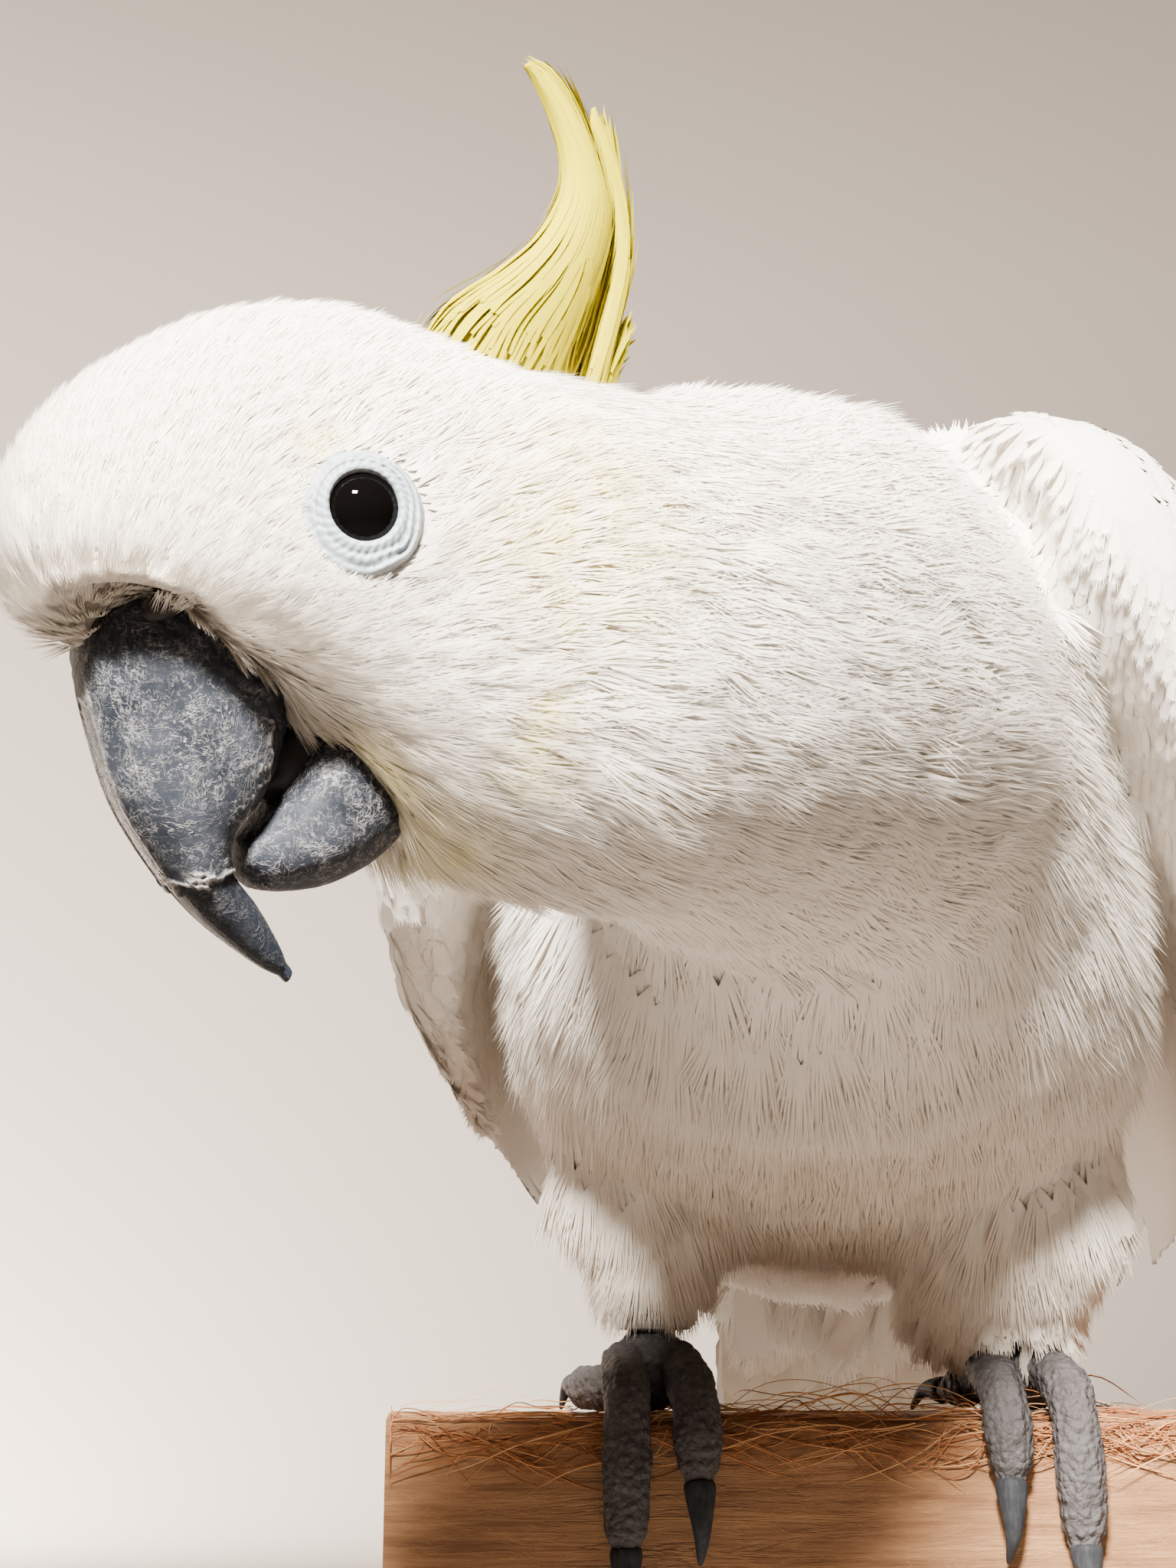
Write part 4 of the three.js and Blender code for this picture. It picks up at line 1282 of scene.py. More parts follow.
def tail_plans():
    plans = []
    for k in reversed(range(TAIL_PAIRS)):
        for side in (-1, 1):
            place = 0.5 + side * (k + 0.4) / TAIL_PAIRS * 0.5
            tip = 0.5 + (place - 0.5) * 0.93
            plans.append((6, 176 - 1.6 * k * k, 0.5 + (place - 0.5) * 0.7, tip, TAIL_FEATHER_WIDTH, "flight",
                          -0.4 - 0.5 * k, -0.2 - 0.25 * k, -0.3 * side))
    return plans


def tail_covert_plans(rows, seed):
    """Rows of covers at the tail's root; a row is distance down, length and number of feathers."""
    rng = np.random.default_rng(seed)
    plans = []
    for order, (down, length, count) in enumerate(rows):
        for k in range(count):
            across = 0.06 + 0.88 * (k + 0.5 + 0.25 * (order % 2)) / count + 0.02 * rng.normal()
            plans.append((down + 2 * rng.normal(), length * (1 + 0.08 * rng.normal()), across, across, 14,
                          "covert", 0.0, 0.7, 0.2))
    return plans


# Painted shade: the webs under the tail are darkened to a warm brown.
shaded_under_web = web_finish("shaded_under_tail_web", (0.68, 0.58, 0.46), (0.47, 0.39, 0.30))
upper_tail, under_tail = tail_sheet(1), tail_sheet(-1)
vanes = lay_feathers("tail_vanes", tail_plans(), upper_tail, 600, wing_web)
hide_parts("tail")
above = tail_covert_plans(((34, 44, 6), (24, 40, 7), (13, 36, 7), (2, 32, 7)), 610)
below = tail_covert_plans(((62, 40, 6), (50, 38, 7), (38, 36, 7), (26, 34, 8), (14, 32, 8), (3, 30, 8)), 612)
lay_feathers("tail_coverts_above", above, upper_tail, 611, wing_web)
lay_feathers("tail_coverts_below", below, under_tail, 613, shaded_under_web)


# ---------------------------------------------------------------- crest
# Long lemon plumes spring from the whole back of the crown, sweep back together like combed
# hair and curl up and forward to a narrow tip. A shorter group stands behind, with loose wisps.
# Each group lies between two edges in the middle plane of the head: x and z of the front edge,
# x and z of the rear edge, and half the thickness
CREST_GROUPS = {
    "main": [(-19, 18.5, -42, 7, 6.0), (-26.6, 23.6, -45, 12.3, 5.6), (-35.5, 26.6, -48.4, 18.6, 4.8),
             (-42.2, 29.9, -51.6, 24.6, 4.0), (-47.6, 34.7, -54.3, 31.4, 3.0), (-49.7, 39.8, -54.6, 38.9, 2.2),
             (-49.5, 45.6, -53.6, 46.0, 1.5), (-48.3, 50.0, -51.4, 51.0, 0.9), (-47.2, 52.6, -47.8, 53.2, 0.3)],
    "rear": [(-40, 8, -45, 6, 3.4), (-46.5, 16, -49.4, 14.4, 3.2), (-52, 24, -54.8, 23.4, 2.5),
             (-54.8, 31, -57.0, 31.0, 1.8), (-55.2, 38, -57.6, 38.4, 1.2), (-55.2, 43, -57.2, 43.4, 0.7),
             (-56.2, 46, -56.6, 46.2, 0.3)],
    "wisps": [(-41, 6, -45, 4, 3.0), (-45.6, 11, -48, 9.6, 2.6), (-49.6, 15.6, -51.6, 14.4, 1.8),
              (-52.4, 19.6, -54.8, 18.4, 0.9)],
}
CREST_STRANDS = {"main": 1150, "rear": 360, "wisps": 70}
STRAND_ROWS = 14
STRAND_HALF = 0.34
CORE_SIDES = 24
CORE_RINGS = 70


def crest_place(path, t, a, b):
    """Place in the group: t from root to tip, a from the front edge to the rear one, b from right to left."""
    at = t * (len(path) - 1)
    rows = np.arange(len(path))
    front_x, front_z, rear_x, rear_z, thick = (np.interp(at, rows, path[:, k]) for k in range(5))
    return np.stack([front_x + (rear_x - front_x) * a, thick * b, front_z + (rear_z - front_z) * a], -1)


def crest_strands():
    rng = np.random.default_rng(700)
    points, facing, charts, tones, crease_shades = [], [], [], [], []
    for number, (group, rows) in enumerate(CREST_GROUPS.items()):
        path = smooth_path(rows, 80)
        for _ in range(CREST_STRANDS[group]):
            turn = rng.uniform(0, 2 * pi)
            deep = rng.uniform(0.86, 1.02)
            a, b = 0.5 + 0.5 * cos(turn) * deep, sin(turn) * deep
            start = rng.uniform(0, 0.62) ** 1.3
            reach = rng.uniform(0.28, 0.5)
            end = min(1.0 - 0.16 * rng.random() ** 2, start + reach)
            u = np.linspace(0, 1, STRAND_ROWS)
            t = start + (end - start) * u
            hind = max(0.0, cos(turn))
            loose = hind * rng.random() ** 4 * 2.6 + (group == "wisps") * rng.uniform(0, 1.6)
            sway = rng.normal(0, 0.03, 2)
            place = crest_place(path, t, a + sway[0] * np.sin(u * 3), b + sway[1] * np.sin(u * 4))
            way = np.gradient(place, axis=0)
            way /= np.linalg.norm(way, axis=1, keepdims=True)
            rear = crest_place(path, t, 1.0, 0) - crest_place(path, t, 0.0, 0)
            rear /= np.linalg.norm(rear, axis=1, keepdims=True)
            place = place + rear * (loose * u ** 2)[:, None]
            out = rear * cos(turn) * 0.9 + np.array((0, 1, 0)) * sin(turn)
            out -= way * (out * way).sum(1, keepdims=True)
            out /= np.linalg.norm(out, axis=1, keepdims=True)
            side = np.cross(out, way)
            half = STRAND_HALF * (0.7 + 0.5 * np.sin(u * pi)) * np.clip((1 - u) * 5, 0.06, 1)
            reach_out = side * half[:, None]
            points.append(np.stack([place - reach_out, place + reach_out], 1).reshape(-1, 3))
            facing.append(np.repeat(out, 2, 0))
            charts.append((0.05 + 0.9 * start, 0.1 + 0.3 * number + 0.25 * a))
            tones.append(np.full(2 * STRAND_ROWS, rng.random()))
            # Painted shade: strands at the back of the crest near its root are darker, as in the crease there.
            crease = hind * (1 - smoothstep(t, 0.25, 0.6)) * (group != "wisps")
            crease_shades.append(np.repeat(crease, 2))
    count = len(points)
    faces = [(2 * i, 2 * i + 2, 2 * i + 3, 2 * i + 1) for i in range(STRAND_ROWS - 1)]
    world = np.array(points) * MM @ head_axes + head_at
    patch = np.tile(np.stack([np.tile((0.0, 1.0), STRAND_ROWS),
                              np.repeat(np.linspace(0, 1, STRAND_ROWS), 2)], 1), (count, 1, 1))
    along = np.tile(np.repeat(np.linspace(0, 1, STRAND_ROWS), 2), (count, 1))
    values = {"along": along, "tone": np.array(tones), "hind": np.array(crease_shades)}
    facing = np.array(facing) @ head_axes
    return joined_mesh("crest_plumes", world, faces, patch, np.array(charts), facing, values)


def new_piece(name, points, faces):
    mesh = bpy.data.meshes.new(name)
    mesh.from_pydata(points.tolist(), [], faces)
    piece = bpy.data.objects.new(name, mesh)
    bpy.context.collection.objects.link(piece)
    return piece


def face_outward(piece):
    select_only(piece)
    bpy.ops.object.mode_set(mode="EDIT")
    bpy.ops.mesh.select_all(action="SELECT")
    bpy.ops.mesh.normals_make_consistent(inside=False)
    bpy.ops.object.mode_set(mode="OBJECT")


def crest_body():
    """The closed body of each group, just under its outer strands."""
    blanks = []
    for group in ("main", "rear"):
        path = smooth_path(CREST_GROUPS[group], 80)
        turn = np.arange(CORE_SIDES) / CORE_SIDES * 2 * pi
        rings = [crest_place(path, np.full(CORE_SIDES, t), 0.5 + 0.45 * np.cos(turn), 0.86 * np.sin(turn))
                 for t in np.linspace(0, 0.97, CORE_RINGS)]
        faces = [(i * CORE_SIDES + k, i * CORE_SIDES + (k + 1) % CORE_SIDES,
                  (i + 1) * CORE_SIDES + (k + 1) % CORE_SIDES, (i + 1) * CORE_SIDES + k)
                 for i in range(CORE_RINGS - 1) for k in range(CORE_SIDES)]
        faces.append(tuple(reversed(range(CORE_SIDES))))
        faces.append(tuple((CORE_RINGS - 1) * CORE_SIDES + k for k in range(CORE_SIDES)))
        points = np.array(rings).reshape(-1, 3) * MM @ head_axes + head_at
        blanks.append(new_piece("crest_core", points, faces))
    select_only(*blanks)
    bpy.ops.object.join()
    core = bpy.context.view_layer.objects.active
    face_outward(core)
    bpy.ops.object.shade_smooth()
    return core


def crest_finish():
    look = new_finish("lemon_plumes")
    along = look.attribute("along")
    tone = look.attribute("tone")
    hind = look.attribute("hind")
    lemon = look.mix(tone * 0.5, (0.40, 0.345, 0.0), (0.47, 0.41, 0.0))
    # Painted shade: deeper yellow in the crease at the back of the crest's root.
    crease_shaded = look.mix(look.clamp(hind * 0.9), lemon, (0.33, 0.25, 0.0))
    pale = look.mix(look.clamp(along * 2.0 - 1.35) * 0.3, crease_shaded, (0.52, 0.46, 0.005))
    return look.set(Base_Color=pale, Roughness=1.0, Specular_IOR_Level=0.0)


lemon_plumes = crest_finish()
plumes = crest_strands()
plumes.data.materials.append(lemon_plumes)
crest_core = crest_body()
crest_core.data.materials.append(lemon_plumes)
for piece in (plumes, crest_core):
    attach(piece, "root")
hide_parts("crest")


# ---------------------------------------------------------------- eyes
# A glossy near-black eyeball behind a bare, bluish white lid ring of thick skin that lies
# in beaded folds round it, wider below and behind.
EYE_TURN = radians(14)
EYE_LIFT = radians(9)
EYE_RADIUS = 5.4
LID_SHIFT = -0.7
LID_THICKNESS = 0.5
LID_FORWARD = 3.5
# Lid profile: distance from the middle of the eye, height over its plane
LID_PROFILE = [(3.98, 0.05), (4.05, 0.52), (4.28, 0.88), (4.65, 1.0), (5.0, 0.80), (5.35, 0.52), (5.65, 0.60),
               (5.95, 0.50), (6.3, 0.24), (6.6, 0.16), (6.9, -0.1), (7.3, -0.8), (7.9, -1.8)]
LID_AROUND = 150
LID_STEPS = 40


def eye_axes(side):
    """Rows out of the head, back, and up, for the eye on that side."""
    out = np.array((sin(EYE_TURN) * cos(EYE_LIFT), side * cos(EYE_TURN) * cos(EYE_LIFT), sin(EYE_LIFT)))
    back = np.array((-side * cos(EYE_TURN), sin(EYE_TURN), 0))
    return np.array((out, back, np.cross(out, back))) @ head_axes


def eyeball_finish():
    look = new_finish("dark_eye")
    return look.set(Base_Color=(0.0015, 0.0013, 0.0012), Roughness=0.015, Specular_IOR_Level=0.09)


def lid_finish():
    look = new_finish("bare_eye_skin")
    beads = look.node("ShaderNodeTexVoronoi", None, {"Vector": look.place(), "Scale": 1500}, "Distance")
    fine = look.noise(look.place(), 1400, 5, 0.7)
    fold = look.attribute("fold")
    cool = look.mix(look.clamp(fine * 1.5 - 0.3), (0.30, 0.36, 0.41), (0.48, 0.53, 0.57))
    # Painted shade: darker in the lid's grooves, where its relief sinks.
    cool = look.mix(fold * 0.8, cool, (0.11, 0.14, 0.17))
    return look.set(Base_Color=cool, Roughness=0.5, Normal=look.bump(beads * 0.6 + fine, 0.35, 0.0002))


def build_lid(word, side):
    axes_here = eye_axes(side)
    centre = middle(f"eye_{word}") + axes_here[0] * LID_FORWARD * MM
    rng = np.random.default_rng(800 + (side > 0))
    ring = np.linspace(0, 2 * pi, LID_AROUND, endpoint=False)
    step = np.linspace(0, 1, LID_STEPS)
    known = np.linspace(0, 1, len(LID_PROFILE))
    profile = np.array(LID_PROFILE)
    radius = np.interp(step, known, profile[:, 0])
    height = np.interp(step, known, profile[:, 1])
    r, angle = np.meshgrid(radius, ring, indexing="ij")
    h = np.repeat(height[:, None], LID_AROUND, 1)
    outer = smoothstep(r, 4.2, 8)
    waves = sum(rng.normal(0, 1) * np.cos(angle * k + rng.uniform(0, 6) + r * rng.uniform(-1, 1))
                for k in range(2, 9))
    beads = np.cos(angle * 31 + 1.5 * np.sin(angle * 3) + r * 5) * np.exp(-((r - 5.35) / 0.8) ** 2)
    rim = np.cos(angle * 24 + 2.5 * np.sin(angle * 2)) * np.exp(-((r - 4.4) / 0.4) ** 2)
    low_back = np.clip(0.25 + np.cos(angle - radians(-38)), 0, 1) ** 1.5
    crease = np.cos(r * 6.6 + 0.4 * waves) * smoothstep(r, 4.9, 5.6) * (1 - smoothstep(r, 7.6, 8.2))
    cross = np.cos(angle * 17 + 2.2 * waves + r * 3) * smoothstep(r, 5.2, 6) * (1 - smoothstep(r, 7.4, 8))
    relief = 0.09 * beads + 0.05 * rim + (0.03 + 0.13 * low_back) * crease + 0.05 * cross + 0.01 * waves * outer
    h = h + relief + 0.25 * low_back * np.exp(-((r - 6.5) / 0.7) ** 2)
    up = r * np.sin(angle) * (1 + 0.05 * outer) + LID_SHIFT * outer
    back = r * np.cos(angle) * 0.97 - 0.35 * outer
    grid = centre + (h[..., None] * axes_here[0] + (back * side)[..., None] * axes_here[1]
                     + up[..., None] * axes_here[2]) * MM
    faces = []
    for i in range(LID_STEPS - 1):
        for j in range(LID_AROUND):
            k = (j + 1) % LID_AROUND
            faces.append((i * LID_AROUND + j, (i + 1) * LID_AROUND + j, (i + 1) * LID_AROUND + k,
                          i * LID_AROUND + k))
    lid = new_piece(f"lid_{word}", grid.reshape(-1, 3), faces)
    # Painted shade for the grooves, from how far the relief sinks.
    keep_values(lid.data, fold=np.clip(0.15 - 7 * relief, 0, 1))
    select_only(lid)
    bpy.ops.object.shade_smooth()
    apply_modifier(lid, "SOLIDIFY", thickness=LID_THICKNESS * MM, offset=-1)
    face_outward(lid)
    return lid


dark_eye = eyeball_finish()
bare_eye_skin = lid_finish()
for word, side in (("left", 1), ("right", -1)):
    bpy.ops.object.select_all(action="DESELECT")
    bpy.ops.mesh.primitive_uv_sphere_add(segments=64, ring_count=40, radius=EYE_RADIUS * MM,
                                         location=middle(f"eye_{word}"))
    ball = bpy.context.object
    ball.name = f"eyeball_{word}"
    bpy.ops.object.transform_apply(location=True, rotation=True, scale=True)
    bpy.ops.object.shade_smooth()
    ball.data.materials.append(dark_eye)
    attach(ball, "root")
    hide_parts(f"eye_{word}")
    lid = build_lid(word, side)
    lid.data.materials.append(bare_eye_skin)
    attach(lid, "root")
    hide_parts(f"eye_ring_{word}")


# ---------------------------------------------------------------- bill
# Two halves of slate-grey horn. Old layers of horn wear to a web of pale fibres, flake off in
# ragged steps near the point and the cutting edges, and stay polished along the ridge.
# A row is x and z of the ridge, x and z of the cutting edge, and half width as a share
UPPER_BILL = [(22, 2.4, 2, -14, 0.88), (28.6, -1.8, 6.5, -17, 1.0), (31.4, -8.8, 9.4, -21, 1),
              (32.0, -17, 11.2, -25.3, 0.97), (31.6, -25, 14.5, -29.3, 0.88), (29.4, -33, 19.2, -32.5, 0.72),
              (26.4, -40, 20.4, -36.0, 0.55), (22.8, -45.6, 18.3, -41.2, 0.40),
              (19.9, -49.2, 16.8, -46.4, 0.26), (17.2, -51.5, 16.2, -50.2, 0.12)]
LOWER_BILL = [(-9, -32, -5, -14, 0.8), (-3, -37.5, 1, -17.5, 0.95), (3, -40.6, 5.5, -21.5, 1),
              (9, -41.6, 9.2, -25.6, 0.98), (14, -41, 12.4, -29.3, 0.88), (17.6, -39.6, 15.6, -31.7, 0.72),
              (19.6, -37, 18.6, -33.2, 0.5)]
UPPER_HALF_WIDTH = 10.35
LOWER_HALF_WIDTH = 9.75
TIP_LAYER = 0.635
BILL_GAP = 0.35


def ragged(*place, seed=0):
    """Chance value from -1 to 1 that changes smoothly with place."""
    return noise.noise(Vector(place) + Vector((seed * 7.3, 0, seed * 3.1)))


def horn_half(name, rows, half_width, ridge, steps, sides):
    """A loft of narrow sections from the face to the point, closed at both ends, with its places."""
    points, spots = [], []
    for i, (xa, za, xb, zb, w) in enumerate(smooth_path(rows, steps)):
        centre = np.array(((xa + xb) / 2, 0, (za + zb) / 2))
        reach = np.array(((xa - xb) / 2, 0, (za - zb) / 2))
        for k in range(sides):
            angle = k / sides * 2 * pi
            c, s = cos(angle), sin(angle)
            c = np.sign(c) * abs(c) ** (2 / (ridge if c > 0 else 2.6))
            s = np.sign(s) * abs(s) ** (2 / 2.3)
            points.append(centre + reach * c + np.array((0, s * w * half_width, 0)))
            spots.append((i / (steps - 1), angle))
    faces = []
    for i in range(steps - 1):
        for k in range(sides):
            n = (k + 1) % sides
            faces.append((i * sides + k, i * sides + n, (i + 1) * sides + n, (i + 1) * sides + k))
    faces.append(tuple(reversed(range(sides))))
    faces.append(tuple((steps - 1) * sides + k for k in range(sides)))
    half = new_piece(name, np.array(points) * MM @ head_axes + head_at, faces)
    face_outward(half)
    bpy.ops.object.shade_smooth()
    return half, np.array(spots)


def wear_upper(half, spots):
    """Raises the rim at the feathers, steps the flaked tip down and roughens the cutting edge."""
    points, normals = coordinates(half), vertex_normals(half)
    head = head_view(points)
    t, angle = spots[:, 0], (spots[:, 1] + pi) % (2 * pi) - pi
    skin_tree = surface_of(skin)
    clear = distance_to(skin_tree, points)
    waver = np.array([ragged(a * 2.2, p[2] * 0.1, 0, seed=1) for a, p in zip(angle, head)])
    rough = np.array([ragged(*(p * 0.9), seed=2) + 0.5 * ragged(*(p * 2.1), seed=3) for p in head])
    jag = np.array([round(ragged(*(p * 0.42), seed=4) * 3) / 3 for p in head])
    rim = np.exp(-((clear - 2.0 - waver) / 0.65) ** 2) * (t < 0.5)
    rim = rim + 0.5 * np.exp(-((clear - 3.5 - waver) / 0.4) ** 2)
    rim *= smoothstep(np.abs(angle), 0.15, 0.5) * (t < 0.45)
    border = TIP_LAYER + 0.035 * jag + 0.01 * rough - 0.03 * np.cos(angle)
    tip = smoothstep(t, border, border + 0.006)
    lip = np.exp(-((t - border + 0.008) / 0.009) ** 2)
    edge = smoothstep(np.abs(angle), 2.25 + 0.25 * jag, 2.32 + 0.25 * jag) * (t > 0.25) * (1 - tip)
    edge_lip = np.exp(-((np.abs(angle) - 2.22 - 0.25 * jag) / 0.05) ** 2) * (t > 0.25) * (1 - tip)
    across = np.abs(head[:, 1])
    stripe = (1 - smoothstep(across, 1.7 + 0.3 * rough, 2.2 + 0.3 * rough)) * (np.cos(angle) > 0)
    stripe *= smoothstep(t, 0.27 + 0.03 * jag, 0.29 + 0.03 * jag)
    stripe_lip = np.exp(-((across - 2.15 - 0.3 * rough) / 0.28) ** 2) * (np.cos(angle) > 0)
    stripe_lip = stripe_lip * smoothstep(t, 0.2, 0.3) * (1 - smoothstep(t, 0.42, 0.62))
    top_lip = np.exp(-((t - 0.275 - 0.03 * jag) / 0.008) ** 2) * (across < 2.6) * (np.cos(angle) > 0)
    lift = 0.55 * rim - 0.28 * tip + 0.16 * lip - 0.22 * edge + 0.1 * edge_lip - 0.14 * stripe
    lift += 0.05 * (stripe_lip + top_lip) + 0.035 * rough * (1 - stripe)
    move_points(half, points + normals * (lift * smoothstep(1 - t, 0, 0.04))[:, None] * MM)
    pale = np.clip(0.9 * lip * (t > 0.3) + 0.8 * edge_lip + 0.75 * stripe_lip + 0.8 * top_lip, 0, 1)
    polish = np.clip(stripe * (1 - 0.5 * tip) + 0.6 * tip * smoothstep(t, 0.64, 0.9), 0, 1)
    dark = np.clip(0.9 * rim + 0.85 * tip + 0.55 * edge, 0, 1)
    keep_values(half.data, pale=pale, polish=polish, dark=dark)


def wear_lower(half):
    """A pale lip where it meets the upper half, painted shade that darkens the whole half, and a darker,
    smoother point.
    """
    points, normals = coordinates(half), vertex_normals(half)
    head = head_view(points)
    near_edge = distance_to(surface_of(upper_bill), points)
    rough = np.array([ragged(*(p * 0.9), seed=6) + 0.5 * ragged(*(p * 2.3), seed=7) for p in head])
    lip = np.exp(-((near_edge - 1.1 - 0.7 * rough) / 0.55) ** 2)
    tip = smoothstep(head[:, 0], 12, 17)
    move_points(half, points + normals * (0.10 * lip + 0.04 * rough)[:, None] * MM)
    # Painted shade: the whole lower half is darker than the upper one.
    keep_values(half.data, pale=np.clip(lip * 0.85, 0, 1), polish=0.35 * tip,
                dark=np.clip(0.75 + 0.2 * tip, 0, 1))


def horn_finish():
    look = new_finish("slate_horn")
    pale = look.attribute("pale")
    polish = look.attribute("polish")
    dark = look.attribute("dark")
    where = look.place()
    clouds = look.noise(where, 120, 5, 0.65)
    web = 0
    for number, (turn, scale, size, fine) in enumerate((((0.4, 0.2, 0.3), (1, 1, 0.35), 420, 42),
                                                        ((-0.7, 0.5, 1.0), (1, 0.4, 1), 560, 38),
                                                        ((0.9, -0.6, 0.2), (0.35, 1, 1), 640, 34),
                                                        ((0.1, 0.8, -0.6), (1, 1, 0.5), 1200, 24))):
        fibre = look.noise(look.place(turn=turn, scale=scale, at=(number, 0, 0)), size, 3, 0.62, 1.1)
        line = look.clamp(1 - look.math("ABSOLUTE", fibre - 0.5) * fine)
        web = web + line * look.clamp(look.noise(where, 150 + 60 * number, 4, 0.65) * 4.2 - 1.95)
    web = look.clamp(web)
    ground = look.mix(look.clamp(clouds * 2.4 - 0.75), (0.008, 0.010, 0.015), (0.046, 0.054, 0.070))
    dusty = look.mix(look.clamp(look.noise(where, 340, 6, 0.75) * 2.6 - 1.3) * 0.3, ground, (0.11, 0.12, 0.135))
    # The dark value holds darker horn at the rim, flaked point and cutting edge of the upper half, and painted
    # shade over the lower half.
    deep = look.mix(dark * 0.8, dusty, (0.010, 0.012, 0.018))
    sleek = look.mix(polish * 0.85, deep, (0.016, 0.021, 0.032))
    scratched = look.mix(web * (1 - polish * 0.85) * (1 - dark * 0.8) * 0.66, sleek, (0.50, 0.50, 0.51))
    edged = look.mix(pale * look.clamp(clouds * 2.2 - 0.35) * 0.8, scratched, (0.52, 0.51, 0.49))
    relief = look.bump(web * 0.8 + clouds * 0.6 + pale, 0.6, 0.00035)
    return look.set(Base_Color=edged, Roughness=0.56 - polish * 0.22 + web * 0.2, Specular_IOR_Level=0.13,
                    Normal=relief)


slate_horn = horn_finish()
upper_bill, upper_spots = horn_half("bill_upper_horn", UPPER_BILL, UPPER_HALF_WIDTH, 2.0, 240, 160)
lower_bill, _ = horn_half("bill_lower_horn", LOWER_BILL, LOWER_HALF_WIDTH, 2.4, 110, 120)
wear_upper(upper_bill, upper_spots)
gap = upper_bill.copy()
gap.data = upper_bill.data.copy()
bpy.context.collection.objects.link(gap)
move_points(gap, coordinates(gap) + vertex_normals(gap) * BILL_GAP * MM)
apply_modifier(lower_bill, "BOOLEAN", operation="DIFFERENCE", object=gap, solver="EXACT")
bpy.data.objects.remove(gap)
wear_lower(lower_bill)
for half, node in ((upper_bill, "bill_upper"), (lower_bill, "bill_lower")):
    half.data.materials.append(slate_horn)
    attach(half, "root")
    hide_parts(node)


# ---------------------------------------------------------------- mouth and nostrils
# A thick dark tongue fills the gap between the halves; each nostril is a small pit in the
# bare cere, half hidden by bristly feathers, filled by a dark lump of painted shade.
def mouth_finish():
    look = new_finish("dark_mouth_and_nostril_shade")
    wet = look.noise(look.place(), 500, 3)
    return look.set(Base_Color=(0.012, 0.010, 0.011), Roughness=0.6, Normal=look.bump(wet, 0.3, 0.0004))


dark_mouth_and_nostril_shade = mouth_finish()


def soft_lump(name, place, half_sizes):
    """A rounded lump in the head's frame, from a subdivided block: flesh for the tongue, painted shade for a
    nostril's pit.
    """
    bpy.ops.object.select_all(action="DESELECT")
    bpy.ops.mesh.primitive_cube_add(size=2)
    lump = bpy.context.object
    lump.name = name
    apply_modifier(lump, "SUBSURF", levels=4, render_levels=4)
    shape = coordinates(lump)
    shape *= np.array(half_sizes) / np.abs(shape).max(0)
    shape[:, 2] -= 0.12 * shape[:, 0] ** 2 / half_sizes[0]
    uneven = np.array([ragged(*(p * 0.6), seed=9) for p in shape])
    move_points(lump, (shape * (1 + 0.06 * uneven[:, None]) + np.array(place)) * MM @ head_axes + head_at)
    face_outward(lump)
    bpy.ops.object.shade_smooth()
    lump.data.materials.append(dark_mouth_and_nostril_shade)
    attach(lump, "root")


soft_lump("tongue", (7, 0, -26), (8.5, 5.2, 5.0))
# Painted shade: a dark lump fills each nostril's pit.
for word, side in (("left", 1), ("right", -1)):
    place = (NOSTRIL[0] - 0.6, side * (NOSTRIL[1] - 0.5), NOSTRIL[2] + 0.4)
    soft_lump(f"nostril_{word}", place, (2.3, 1.5, 1.5))


# ---------------------------------------------------------------- feet
# Thick grey skin in pebbled scales, small on the sides and larger over the top of each toe,
# dusty on the crowns of the scales and dark in the creases between them.
FOOT_VOXEL = 0.5 * MM
PEBBLE_SIZE = 1.7
FOLD_SIZE = 4.5
TOE_END_WAIST = 0.56


def foot_finish():
    look = new_finish("scaled_skin")
    where = look.place()
    scales = look.node("ShaderNodeTexVoronoi", None, {"Vector": where, "Scale": 620}, "Distance")
    small = look.node("ShaderNodeTexVoronoi", None, {"Vector": where, "Scale": 1500}, "Distance")
    clouds = look.noise(where, 150, 4, 0.65)
    dust = look.noise(where, 900, 5, 0.75)
    crown = look.clamp(1.15 - scales * 1.7)
    ground = look.mix(look.clamp(clouds * 2 - 0.5), (0.036, 0.032, 0.033), (0.098, 0.089, 0.091))
    scaled = look.mix(crown * 0.6, ground, (0.085, 0.078, 0.080))
    dusty = look.mix(look.clamp(dust * 3.2 - 1.65) * (0.2 + crown * 0.5), scaled, (0.16, 0.15, 0.145))
    relief = look.bump(crown * 0.9 - small * 0.35 + dust * 0.3, 0.8, 0.0007)
    return look.set(Base_Color=dusty, Roughness=0.72, Specular_IOR_Level=0.2, Normal=relief)


def claw_seat(digit, word):
    """Middle of the claw's base and the way it points, from its solid."""
    claw = coordinates(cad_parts[f"claw_{digit}_{word}"])
    away = distance_to(surface_of(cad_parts[f"toe_{digit}_{word}"]), claw)
    root = claw[away < away.min() + 0.9].mean(0)
    way = claw[away > away.max() * 0.45].mean(0) - root
    return root, way / np.linalg.norm(way)


